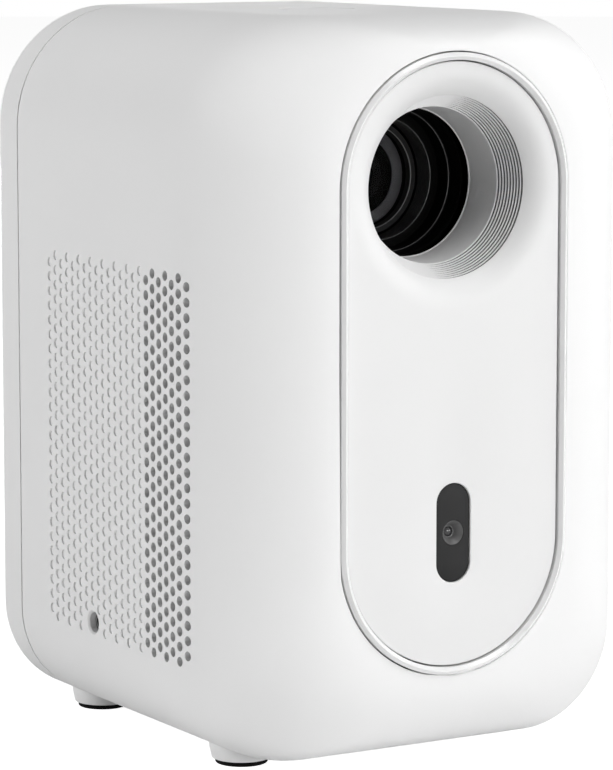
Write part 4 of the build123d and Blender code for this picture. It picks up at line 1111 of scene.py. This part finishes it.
@dataclass
class TrimRing:
    """The raised white bezel round the front panel.

    Attributes:
        width: Width of the bezel.
        gap: Added gap on both sides of the bezel.
        proud: How far the bezel's top stands in front of the CAD node's.
        edge: Rounding of its top.
        edge_steps: Steps along the rounding.
        arc_steps: Steps along each half circle.
    """

    width: float = BEZEL_WIDTH
    gap: float = 0.1
    proud: float = 0.6
    edge: float = 0.3
    edge_steps: int = 6
    arc_steps: int = 72

    def build(self) -> None:
        """Sweeps the bezel's section round its outline."""
        box = NodeBox.of("trim_ring")
        outer, inner = box.high[0] - self.gap, box.high[0] - self.width + self.gap
        front, back = box.low[1] - self.proud, box.high[1]
        outline = Oval(0.0, box.middle[2], box.high[2] - box.middle[2] - box.high[0], self.arc_steps)
        middle, half = (outer + inner) / 2, (outer - inner) / 2
        foot = front + half + self.edge * (1.0 - math.sqrt(2.0))
        top = rounded(self.edge, 45.0, 135.0, self.edge_steps)
        profile = [(outer, back), (outer, foot)]
        profile += [(middle + across, front + self.edge - up) for across, up in top]
        profile += [(inner, foot), (inner, back)]
        skin = Skin()
        skin.loop(outline.rows(profile))
        settle(skin.piece("trim_bezel"), WHITE_TRIM, Body.PROJECTOR, "trim_ring")


@dataclass
class FrontPanel:
    """The oval panel with the ridged lens funnel.

    Attributes:
        recess: How far the panel lies behind the casing's front.
        gap: Gap to the bezel.
        bezel: Width of the bezel.
        edge: Rounding of the panel's edges.
        thickness: Thickness of the panel and the funnel's wall.
        flare: Radius at which the flare starts.
        flare_power: How steeply the flare's slope grows towards the first ridge.
        mouth: Radius and depth of the first ridge.
        ridge_end: Radius and depth of the last ridge.
        pitches: Number of pitches between the ridges.
        nose: Share of a pitch that a ridge's nose takes.
        groove: Depth of the groove behind a ridge.
        groove_shade_reach: How far the painted shade lining in a groove reaches into the wall.
        lip: Rounding of the funnel's inner end.
        end_radius: Radius at the funnel's inner end.
        window_gap: Gap round the sensor window.
        window_flange: Width of the window's hidden flange.
        sharp: The least angle of an edge that is shown sharp, in degrees.
        flare_steps: Steps along the flare.
        edge_steps: Steps along the rounding of an edge.
        lip_sides: Steps round the lip's section.
        arc_steps: Steps along each half circle.
    """

    recess: float = 0.4
    gap: float = 0.25
    bezel: float = BEZEL_WIDTH
    edge: float = 0.3
    thickness: float = 2.0
    flare: float = 31.6
    flare_power: float = 2.3
    mouth: tuple[float, float] = (23.73, 4.55)
    ridge_end: tuple[float, float] = (20.44, 11.95)
    pitches: int = 9
    nose: float = 0.14
    groove: float = 0.08
    groove_shade_reach: float = 0.2
    lip: float = 0.22
    end_radius: float = 19.8
    window_gap: float = 0.1
    window_flange: float = WINDOW_FLANGE
    sharp: float = 24.0
    flare_steps: int = 20
    edge_steps: int = 5
    lip_sides: int = 12
    arc_steps: int = 72

    def __post_init__(self) -> None:
        """Reads the places that the frame gives."""
        ring = NodeBox.of("trim_ring")
        window = NodeBox.of("sensor_window")
        self.front = NodeBox.of("main_housing").low[1]
        self.end_depth = NodeBox.of("front_panel").high[1] - self.front
        self.half = ring.high[0] - self.bezel - self.gap
        straight = ring.high[2] - ring.middle[2] - ring.high[0]
        self.outline = Oval(0.0, ring.middle[2], straight, self.arc_steps)
        self.funnel = Oval(0.0, NodeBox.of("lens_barrel").middle[2], steps=self.arc_steps)
        self.window_half = window.high[0] - self.window_flange
        tall = (window.high[2] - window.low[2]) / 2 - self.window_flange
        self.window = Oval(0.0, window.middle[2], tall - self.window_half, self.arc_steps // 2)
        self.shrink = (self.mouth[0] - self.ridge_end[0]) / self.pitches
        self.pitch = (self.ridge_end[1] - self.mouth[1]) / self.pitches

    def _at(self, profile: Profile) -> list[tuple[float, float]]:
        """Moves depths behind the front face to places along Y."""
        return [(radius, self.front + depth) for radius, depth in profile]

    def _funnel_profile(self) -> list[tuple[float, float]]:
        """The funnel's inside, from the flare to the inner end.

        Returns:
            Radius and depth along it.
        """
        wide, deep = self.flare - self.mouth[0], self.mouth[1] - self.recess
        shares = [step / self.flare_steps for step in range(self.flare_steps + 1)]
        profile = [
            (self.flare - wide * share, self.recess + deep * share**self.flare_power) for share in shares
        ]
        for step in range(self.pitches):
            radius = self.mouth[0] - self.shrink * step
            start = self.mouth[1] + self.pitch * (step + self.nose)
            end = self.mouth[1] + self.pitch * (step + 1)
            floor = radius + self.groove
            profile += [(radius, start), (floor, start), (floor, end), (radius - self.shrink, end)]
        profile.append((self.end_radius, self.end_depth))
        return profile

    def _rolled(self, radius: float, sense: int) -> list[tuple[float, float]]:
        """The rounding of the panel's outer edge or of a hole's edge.

        Args:
            radius: Where the edge lies.
            sense: 1 for the outer edge, -1 for a hole's.

        Returns:
            Radius and depth along the rounding.
        """
        middle = radius - sense * self.edge
        arc = rounded(self.edge, 0.0, 90.0, self.edge_steps)
        return [(middle + sense * across, self.recess + self.edge - up) for across, up in arc]

    def _painted_groove_shade(self) -> None:
        """Dark grey linings in the grooves between the ridges: painted shade where the white funnel only
        falls into shade.
        """
        skin = Skin()
        for step in range(self.pitches):
            inner = self.mouth[0] - self.shrink * step + self.groove / 2
            start = self.mouth[1] + self.pitch * (step + self.nose)
            end = self.mouth[1] + self.pitch * (step + 1)
            outer = inner + self.groove_shade_reach
            section = [(outer, end), (outer, start), (inner, start), (inner, end)]
            skin.loop(self.funnel.rows(self._at(section)))
        settle(skin.piece("funnel_grooves"), GROOVE_PAINTED_SHADE, Body.PROJECTOR)

    def _end_lip(self) -> None:
        """The rounded white lip at the funnel's inner end."""
        skin = Skin()
        middle = self.end_depth - self.lip
        arc = circle(self.lip, self.lip_sides)
        section = [(self.end_radius - across, middle - up) for across, up in arc]
        skin.loop(self.funnel.rows(self._at(section)))
        settle(skin.piece("funnel_lip"), WHITE_TRIM, Body.PROJECTOR)

    def build(self) -> None:
        """Builds the panel as one closed form, the painted shade in the funnel's grooves, and the lip.
        """
        skin = Skin()
        back = self.recess + self.thickness
        rim = [(self.half, back), *self._rolled(self.half, 1)]
        outer = skin.loft(self.outline.rows(self._at(rim)))
        hole = self.window_half + self.window_gap
        window = skin.loft(self.window.rows(self._at([(hole, back), *self._rolled(hole, -1)])))
        inside = self._funnel_profile()
        outside = [
            (self.end_radius + self.thickness, self.end_depth),
            (self.ridge_end[0] + self.thickness, self.ridge_end[1]),
            (self.mouth[0] + self.thickness, self.mouth[1] + self.thickness),
            (self.flare, back),
        ]
        funnel = skin.loft(self.funnel.rows(self._at([*inside, *outside])))
        skin.fill(outer[-1], window[-1], funnel[0])
        skin.fill(outer[0], window[0], funnel[-1])
        settle(skin.piece("front_panel_skin", self.sharp), WHITE_PANEL, Body.PROJECTOR, "front_panel")
        self._painted_groove_shade()
        self._end_lip()


@dataclass
class SensorWindow:
    """The smoked window with the camera's bowl and lens.

    Attributes:
        flange: Width of the window's hidden flange.
        recess: Depth of the window's face behind the casing's front.
        bevel: Width of the polished bevel round the window.
        thickness: Thickness of the window.
        bowl_radius: Radius of the camera's bowl.
        bowl_gap: Gap round the bowl.
        bowl_depth: Depth of the bowl.
        bowl_foot: How far the bowl reaches behind its floor.
        seat_width: Width of the seat round the lens.
        seat_height: Height of that seat.
        lens_radius: Radius of the camera's lens.
        lens_rise: How far the lens bulges.
        lens_foot: How far the lens reaches behind the bowl's floor.
        lens_shares: Where the lens's rows lie, as shares of its radius.
        window_steps: Steps along each half circle of the window.
        camera_steps: Steps along each half circle of the bowl and the lens.
    """

    flange: float = WINDOW_FLANGE
    recess: float = 0.7
    bevel: float = 0.5
    thickness: float = 2.4
    bowl_radius: float = 3.20
    bowl_gap: float = 0.08
    bowl_depth: float = 2.3
    bowl_foot: float = 1.0
    seat_width: float = 0.25
    seat_height: float = 0.1
    lens_radius: float = 1.35
    lens_rise: float = 0.5
    lens_foot: float = 0.9
    lens_shares: tuple[float, ...] = (1.0, 0.85, 0.65, 0.45, 0.25, 0.08)
    window_steps: int = 36
    camera_steps: int = 28

    def __post_init__(self) -> None:
        """Reads the window's place from the frame."""
        box = NodeBox.of("sensor_window")
        self.face = NodeBox.of("main_housing").low[1] + self.recess
        self.half = box.high[0] - self.flange
        tall = (box.high[2] - box.low[2]) / 2 - self.flange
        self.outline = Oval(0.0, box.middle[2], tall - self.half, self.window_steps)
        self.camera = Oval(0.0, box.middle[2], steps=self.camera_steps)
        self.floor = self.face + self.bowl_depth

    def _window(self) -> None:
        """The smoked plate with its bevel and the camera's hole."""
        skin = Skin()
        back = self.face + self.thickness
        hole = self.bowl_radius + self.bowl_gap
        sink = self.bevel / 2
        profile = [(self.half, back), (self.half, self.face + sink), (self.half - self.bevel, self.face)]
        outer = skin.loft(self.outline.rows(profile))
        inner = skin.loft(self.camera.rows([(hole, back), (hole, self.face)]))
        skin.fill(outer[-1], inner[-1])
        skin.fill(outer[0], inner[0])
        settle(skin.piece("smoked_window_plate"), SMOKED_WINDOW, Body.PROJECTOR, "sensor_window")

    def _bowl(self) -> None:
        """The grey bowl round the camera's lens."""
        rim, back = self.bowl_radius - self.bowl_gap, self.floor + self.bowl_foot
        profile = [
            (self.bowl_radius, back),
            (self.bowl_radius, self.face + self.bowl_gap),
            (rim, self.face),
            (rim - self.bowl_gap, self.face + self.bowl_gap),
            (self.lens_radius + self.seat_width, self.floor - self.seat_height),
            (self.lens_radius, self.floor),
            (self.lens_radius, back),
        ]
        skin = Skin()
        skin.loop(self.camera.rows(profile))
        settle(skin.piece("camera_bowl"), CAMERA_GREY, Body.PROJECTOR, "camera_module")

    def _lens(self) -> None:
        """The small bulging lens at the bowl's floor."""
        ball = (self.lens_radius**2 + self.lens_rise**2) / (2 * self.lens_rise)
        middle = self.floor - self.lens_rise + ball
        radii = [self.lens_radius * share for share in self.lens_shares]
        profile = [(self.lens_radius, self.floor + self.lens_foot)]
        profile += [(radius, middle - math.sqrt(ball**2 - radius**2)) for radius in radii]
        skin = Skin()
        skin.plug(self.camera.rows(profile))
        settle(skin.piece("camera_lens"), CAMERA_LENS, Body.PROJECTOR, "camera_glass")

    def build(self) -> None:
        """Builds the window, the bowl and the lens."""
        self._window()
        self._bowl()
        self._lens()


# Audio socket


@dataclass
class AudioSocket:
    """The jack behind the round opening low on the left side.

    Attributes:
        recess: Depth of the jack's face behind the casing's side.
        nose: Radius of the jack's round nose.
        bore: Radius of the bore for the plug.
        rim: Width of the metal rim round the bore.
        rim_height: How far that rim stands out.
        bore_length: Length of the bore.
        wall: Thickness of the casing's wall.
        sides: Steps round the nose.
    """

    recess: float = 2.2
    nose: float = 2.75
    bore: float = 1.78
    rim: float = 0.3
    rim_height: float = 0.15
    bore_length: float = 13.0
    wall: float = WALL
    sides: int = 40

    def __post_init__(self) -> None:
        """Reads the jack's place from the frame."""
        self.box = NodeBox.of("audio_jack")
        self.side = NodeBox.of("back_cover").low[0]
        self.face = self.side + self.recess

    def _row(self, radius: float, x: float) -> list[Point]:
        """A circle round the bore's axis at a place along X."""
        _, y, z = self.box.middle
        return [(x, y + across, z + up) for across, up in circle(radius, self.sides)]

    def _nose(self) -> None:
        """The black nose with its blind bore, and the block behind it."""
        inner = self.side + self.wall + self.rim_height
        profile = [
            (self.nose, inner),
            (self.nose, self.face),
            (self.bore, self.face),
            (self.bore, self.face + self.bore_length),
        ]
        skin = Skin()
        rings = skin.loft(self._row(radius, x) for radius, x in profile)
        skin.cap(rings[-1])
        low, high = self.box.low, self.box.high
        block = [
            [(x, low[1], low[2]), (x, high[1], low[2]), (x, high[1], high[2]), (x, low[1], high[2])]
            for x in (inner, high[0] + self.wall)
        ]
        ends = skin.loft(block)
        skin.fill(ends[0], rings[0])
        skin.cap(ends[1])
        settle(skin.piece("audio_jack_body"), BLACK_PLASTIC, Body.PROJECTOR, "audio_jack")

    def _rim(self) -> None:
        """The metal rim round the bore."""
        outer = self.bore + self.rim
        front, back = self.face - self.rim_height, self.face + self.wall
        corners = [(outer, self.face), (outer, front), (self.bore, front), (self.bore, back)]
        corners.append((outer, back))
        skin = Skin()
        skin.loop(self._row(radius, x) for radius, x in corners)
        settle(skin.piece("audio_jack_rim"), STEEL, Body.PROJECTOR)

    def build(self) -> None:
        """Builds the jack and its rim."""
        self._nose()
        self._rim()


# Projection lens


@dataclass
class ProjectionLens:
    """The black stepped barrel that slides behind the funnel, with its iris.

    Attributes:
        mouth: Inner radius at the barrel's front.
        edges: Radius and setback of each step inside the mouth.
        edge: Rounding of the steps' polished edges.
        bore: Inner radius behind the lens ring.
        ring_edge: Inner radius at the lens ring's front.
        ring_inner: Inner radius at its back.
        iris: Radius of the iris opening.
        cell_inner: Inner radius of the grey washer in front of the iris.
        cell_outer: Outer radius of that washer.
        iris_setback: How far the iris lies behind the lens ring's front.
        iris_thickness: Thickness of the iris.
        bead_sides: Steps round the section of a polished edge.
        steps: Steps along each half circle.
    """

    mouth: float = 19.6
    edges: tuple[tuple[float, float], ...] = ((18.9, 5.05), (16.3, 10.15))
    edge: float = 0.22
    bore: float = 16.85
    ring_edge: float = 14.07
    ring_inner: float = 13.6
    iris: float = 4.5
    cell_inner: float = 10.4
    cell_outer: float = 13.6
    iris_setback: float = 5.6
    iris_thickness: float = 0.4
    bead_sides: int = 12
    steps: int = 72

    def __post_init__(self) -> None:
        """Reads the places that the frame gives."""
        barrel = NodeBox.of("lens_barrel")
        ring = NodeBox.of("front_lens_ring")
        self.front, self.back = barrel.low[1], barrel.high[1]
        self.radius = (barrel.high[2] - barrel.low[2]) / 2
        self.ring_front, self.ring_back = ring.low[1], ring.high[1]
        self.ring_outer = ring.high[0]
        self.axis = Oval(0.0, barrel.middle[2], steps=self.steps)

    def _turned(self, name: str, profile: Profile, finish: Finish, *nodes: str) -> None:
        """Turns a closed section round the lens's axis.

        Args:
            name: The piece's name.
            profile: Radius and Y of the section's corners.
            finish: The piece's finish.
            nodes: The CAD nodes that it stands for.
        """
        skin = Skin()
        skin.loop(self.axis.rows(profile))
        settle(skin.piece(name), finish, Body.LENS, *nodes)

    def _barrel(self) -> None:
        """The stepped barrel, with its steps' edges as polished lines, lightened as a painted highlight.
        """
        (wide, first), (narrow, second) = self.edges
        profile = [
            (self.radius, self.back),
            (self.radius, self.front),
            (self.mouth, self.front),
            (self.mouth, self.front + first),
            (wide + self.edge, self.front + first),
            (wide, self.front + first + self.edge),
            (wide, self.front + second),
            (narrow + self.edge, self.front + second),
            (narrow + self.edge, self.ring_front),
            (self.bore, self.ring_back),
            (self.bore, self.back),
        ]
        self._turned("lens_barrel_skin", profile, BARREL_BLACK, "lens_barrel")
        for number, (radius, setback) in enumerate(self.edges):
            self._bead(f"barrel_edge_{number}", radius, self.front + setback)

    def _bead(self, name: str, radius: float, y: float, finish: Finish = POLISHED_EDGE_HIGHLIGHT) -> None:
        """Lays a thin polished edge round a step, lightened as a painted highlight.

        Args:
            name: The piece's name.
            radius: The step's inner radius.
            y: Where the step's front lies along Y.
            finish: The edge's finish.
        """
        arc = circle(self.edge, self.bead_sides)
        bead = [(radius + self.edge - across, y + self.edge - up) for across, up in arc]
        self._turned(name, bead, finish)

    def _throat(self) -> None:
        """The blasted wall between the inner step and the lens ring."""
        narrow, setback = self.edges[-1]
        start = self.front + setback + self.edge
        wall = [
            (narrow, start),
            (narrow, self.ring_front),
            (narrow + self.edge, self.ring_front),
            (narrow + self.edge, start),
        ]
        self._turned("blasted_throat", wall, BLASTED_BLACK)

    def _ring(self) -> None:
        """The lens ring with its polished edge, lightened as a painted highlight, and its cone towards
        the glass.
        """
        profile = [
            (self.ring_outer, self.ring_back),
            (self.ring_outer, self.ring_front),
            (self.ring_edge + self.edge, self.ring_front),
            (self.ring_edge, self.ring_front + self.edge),
            (self.ring_inner, self.ring_back),
        ]
        self._turned("lens_ring", profile, RING_BLACK, "front_lens_ring")
        # The ring's edge bead is lightened grey as a painted highlight.
        self._bead("ring_edge", self.ring_edge, self.ring_front, RING_PAINTED_HIGHLIGHT)

    def _iris(self) -> None:
        """The thin black iris behind the front lens, with a grey washer on it."""
        start = self.ring_front + self.iris_setback
        before, after = start - self.iris_thickness, start + self.iris_thickness
        rings = {
            "lens_iris": (self.iris, self.bore, start, after, BARREL_BLACK),
            "lens_cell": (self.cell_inner, self.cell_outer, before, start, CELL_GREY),
        }
        for name, (inner, outer, near, far, finish) in rings.items():
            self._turned(name, [(outer, near), (inner, near), (inner, far), (outer, far)], finish)

    def build(self) -> None:
        """Builds the barrel, its throat, its ring and its iris."""
        self._barrel()
        self._throat()
        self._ring()
        self._iris()


# Feet

CORNERS = 4


@cache
def copies_tree() -> bpy.types.NodeTree:
    """A tree that puts copies of one form on the corners of a level rectangle.

    Returns:
        The node tree.
    """
    inputs = [("Form", GEOMETRY), ("Finish", MATERIAL), *named(FLOAT, "Width", "Length", "Middle Y")]
    tree = new_group("corner_copies", "GeometryNodeTree", inputs, named(GEOMETRY, "Copies"))
    source = tree.add("NodeGroupInput").outputs
    points = tree.put("GeometryNodePoints", {"Count": CORNERS})
    index = tree.add("GeometryNodeInputIndex").outputs[0]
    across = tree.math("SUBTRACT", tree.math("MODULO", index, 2.0), 0.5)
    along = tree.math("SUBTRACT", tree.math("FLOOR", tree.math("DIVIDE", index, 2.0)), 0.5)
    x = tree.math("MULTIPLY", across, source["Width"])
    y = tree.math("ADD", source["Middle Y"], tree.math("MULTIPLY", along, source["Length"]))
    placed = {"Geometry": points, "Position": tree.vector(x, y, 0.0)}
    moved = tree.put("GeometryNodeSetPosition", placed)
    copies = tree.put("GeometryNodeInstanceOnPoints", {"Points": moved, "Instance": source["Form"]})
    return tree.end({"Copies": tree.dressed(copies, source["Finish"])})


@dataclass
class Feet:
    """Four tapered feet with rounded rubber pads.

    Attributes:
        top_radius: A foot's radius at the casing.
        low_radius: A foot's radius at its lower edge.
        lip: Rounding of its lower edge.
        sunk: How far a foot reaches into the casing's curve.
        pad_radius: Radius of a pad.
        pad_round: Rounding of a pad.
        round_steps: Steps along the rounding of a foot and a pad.
        sides: Steps round a foot.
    """

    top_radius: float = 8.7
    low_radius: float = 8.1
    lip: float = 0.4
    sunk: float = 2.2
    pad_radius: float = 7.1
    pad_round: float = 0.5
    round_steps: tuple[int, int] = (5, 6)
    sides: int = 48

    @staticmethod
    def _rolled(radius: float, low: float, edge: float, steps: int) -> list[tuple[float, float]]:
        """Radius and Z along a rounded lower edge, from the bottom up."""
        arc = rounded(edge, 90.0, 0.0, steps)
        return [(radius - edge + across, low + edge - up) for across, up in arc]

    def build(self) -> None:
        """Builds the feet and their pads on the corners of a rectangle."""
        pads = NodeBox.of("foot_pads")
        pad_top = pads.high[2]
        body_low = NodeBox.of("back_cover").low[2]
        spread = {
            "Width": (pads.high[0] - pads.low[0] - 2 * self.pad_radius) * MM,
            "Length": (pads.high[1] - pads.low[1] - 2 * self.pad_radius) * MM,
            "Middle Y": pads.middle[1] * MM,
        }
        foot_steps, pad_steps = self.round_steps
        foot = self._rolled(self.low_radius, pad_top, self.lip, foot_steps)
        foot += [(self.top_radius, body_low), (self.top_radius, body_low + self.sunk)]
        pad = self._rolled(self.pad_radius, 0.0, self.pad_round, pad_steps)
        pad.append((self.pad_radius, pad_top))
        for name, profile, finish in (("feet", foot, WHITE_SHELL), ("foot_pads", pad, RUBBER)):
            form = turned(name + "_form", profile, Axis.Z, self.sides)
            add_modifier(form, copies_tree(), {**spread, "Finish": finish.material()})
            settle(freeze(form, name + "_set"), finish, Body.PROJECTOR, name)


# Stage


@dataclass(frozen=True)
class Viewpoint:
    """Where the photograph was taken from.

    Attributes:
        place: The camera's place.
        yaw: Turn to the right of straight ahead, in degrees.
        tilt: Tilt below the horizon, in degrees.
        focal: Focal length in pixels.
        centre: Where the optical axis meets the image, in pixels.
        image: Width and height of the image, in pixels.
        sensor: Width of the camera's sensor on the image's long side.
        clip: Nearest and farthest distance that is drawn, in metres.
    """

    place: Point = (-507.82, -850.22, 229.685)
    yaw: float = 30.673
    tilt: float = 7.467
    focal: float = 3631.77
    centre: tuple[float, float] = (306.383, 371.283)
    image: tuple[int, int] = (613, 770)
    sensor: float = 36.0
    clip: tuple[float, float] = (0.05, 50.0)

    def build(self) -> None:
        """Makes the camera and sets it as the scene's."""
        data = bpy.data.cameras.new("photo_camera")
        long_side = max(self.image)
        data.sensor_width = self.sensor
        data.lens = self.focal * self.sensor / long_side
        data.shift_x = (self.image[0] / 2 - self.centre[0]) / long_side
        data.shift_y = (self.centre[1] - self.image[1] / 2) / long_side
        data.clip_start, data.clip_end = self.clip
        yaw, tilt = math.radians(self.yaw), math.radians(self.tilt)
        level = math.cos(tilt)
        ahead = Vector((math.sin(yaw) * level, math.cos(yaw) * level, -math.sin(tilt)))
        right = Vector((math.cos(yaw), -math.sin(yaw), 0.0))
        up = right.cross(ahead)
        turn = Matrix((right, up, -ahead)).transposed().to_4x4()
        camera = bpy.data.objects.new("photo_camera", data)
        camera.matrix_world = Matrix.Translation(Vector(self.place) * MM) @ turn
        bpy.context.scene.collection.objects.link(camera)
        bpy.context.scene.camera = camera


@dataclass(frozen=True)
class SoftLamp:
    """A large soft studio lamp.

    Attributes:
        name: The lamp's name.
        place: Where it stands, in metres.
        size: Width of its square face, in metres.
        power: Its power in watts.
        target: What it points at, in metres.
    """

    name: str
    place: Point
    size: float
    power: float
    target: Point = (0.0, 0.0, 0.1)

    def build(self) -> None:
        """Makes the lamp and turns it to its target."""
        data = bpy.data.lights.new(self.name, "AREA")
        data.energy = self.power
        data.size = self.size
        lamp = bpy.data.objects.new(self.name, data)
        lamp.location = self.place
        lamp.rotation_mode = "QUATERNION"
        ahead = Vector(self.target) - Vector(self.place)
        lamp.rotation_quaternion = ahead.to_track_quat("-Z", "Y")
        bpy.context.scene.collection.objects.link(lamp)


@dataclass
class Studio:
    """Floor, background and lamps.

    Attributes:
        ambient: Brightness of the surrounding light.
        floor_radius: Radius of the round floor, in metres.
        floor_sides: Steps round the floor.
        floor_colour: Grey of the floor.
        floor_glow: Added brightness of the floor as seen by the camera.
        lamps: The soft lamps.
    """

    ambient: float = 0.02
    floor_radius: float = 6.0
    floor_sides: int = 120
    floor_colour: float = 0.82
    floor_glow: float = 0.94
    lamps: tuple[SoftLamp, ...] = (
        SoftLamp("key_lamp", (0.94, -1.46, 1.2), 1.0, 2.0),
        SoftLamp("top_lamp", (0.3, -0.9, 1.9), 1.0, 19.5),
        SoftLamp("left_lamp", (-1.85, 0.5, 0.55), 1.1, 20.0),
        SoftLamp("right_lamp", (2.0, -0.6, 0.6), 1.0, 7.5),
        SoftLamp("low_right_lamp", (1.0, -1.4, 0.15), 0.6, 7.0),
        SoftLamp("low_front_lamp", (0.15, -1.6, 0.12), 0.6, 11.0),
        SoftLamp("rear_lamp", (0.9, 1.9, 0.12), 0.5, 6.0),
    )

    @staticmethod
    def _seen(tree: Tree) -> Socket:
        """A mask of what the camera sees, also in a mirror or through glass.

        Args:
            tree: The tree that the mask is for.

        Returns:
            One where it is seen, and else nought.
        """
        path = tree.add("ShaderNodeLightPath").outputs
        shown = tree.math("MAXIMUM", path["Is Camera Ray"], path["Is Glossy Ray"])
        return tree.math("MAXIMUM", shown, path["Is Transmission Ray"])

    def _world(self) -> None:
        """A white background over a plain surrounding light."""
        world = bpy.data.worlds.new("white_studio")
        bpy.context.scene.world = world
        world.use_nodes = True
        tree = Tree(world.node_tree)
        extra = tree.math("MULTIPLY", self._seen(tree), 1.0 - self.ambient)
        light = {"Color": (*grey(1.0), 1.0), "Strength": tree.math("ADD", extra, self.ambient)}
        tree.wire(world.node_tree.nodes["Background"], light)

    def _floor(self) -> None:
        """A pale floor that keeps the object's shadow."""
        material = bpy.data.materials.new("pale_floor")
        material.use_nodes = True
        tree = Tree(material.node_tree)
        nodes = material.node_tree.nodes
        nodes.remove(nodes["Principled BSDF"])
        matt = tree.put("ShaderNodeBsdfDiffuse", {"Color": (*grey(self.floor_colour), 1.0)})
        strength = tree.math("MULTIPLY", self._seen(tree), self.floor_glow)
        glow = tree.put("ShaderNodeEmission", {"Strength": strength})
        both = tree.put("ShaderNodeAddShader", {0: matt, 1: glow})
        tree.wire(nodes["Material Output"], {"Surface": both})
        skin = Skin()
        edge = circle(self.floor_radius / MM, self.floor_sides)
        skin.cap(skin.ring((x, y, 0.0) for x, y in edge))
        floor = skin.piece("pale_floor")
        floor.data.materials.append(material)

    def build(self) -> None:
        """Builds the studio."""
        bpy.context.scene.view_settings.view_transform = "Standard"
        self._world()
        self._floor()
        for lamp in self.lamps:
            lamp.build()


def dress_nodes(frame: dict) -> None:
    """Gives each carried-over CAD node the finish of its slot.

    Args:
        frame: The loaded frame.
    """
    for row in frame["record"]["subparts"]:
        finish = SLOT_FINISHES[Slot(row["material_slot"])]
        node = frame["nodes"][row["node"]]
        node.data.materials.clear()
        node.data.materials.append(finish.material())


def main() -> None:
    """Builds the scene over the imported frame."""
    logging.basicConfig(level=logging.INFO, format="%(message)s")
    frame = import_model()
    dress_nodes(frame)
    parts = (Casing(), TrimRing(), FrontPanel(), SensorWindow(), AudioSocket(), ProjectionLens(), Feet())
    for part in parts:
        part.build()
    Viewpoint().build()
    Studio().build()


if __name__ == "__main__":
    main()
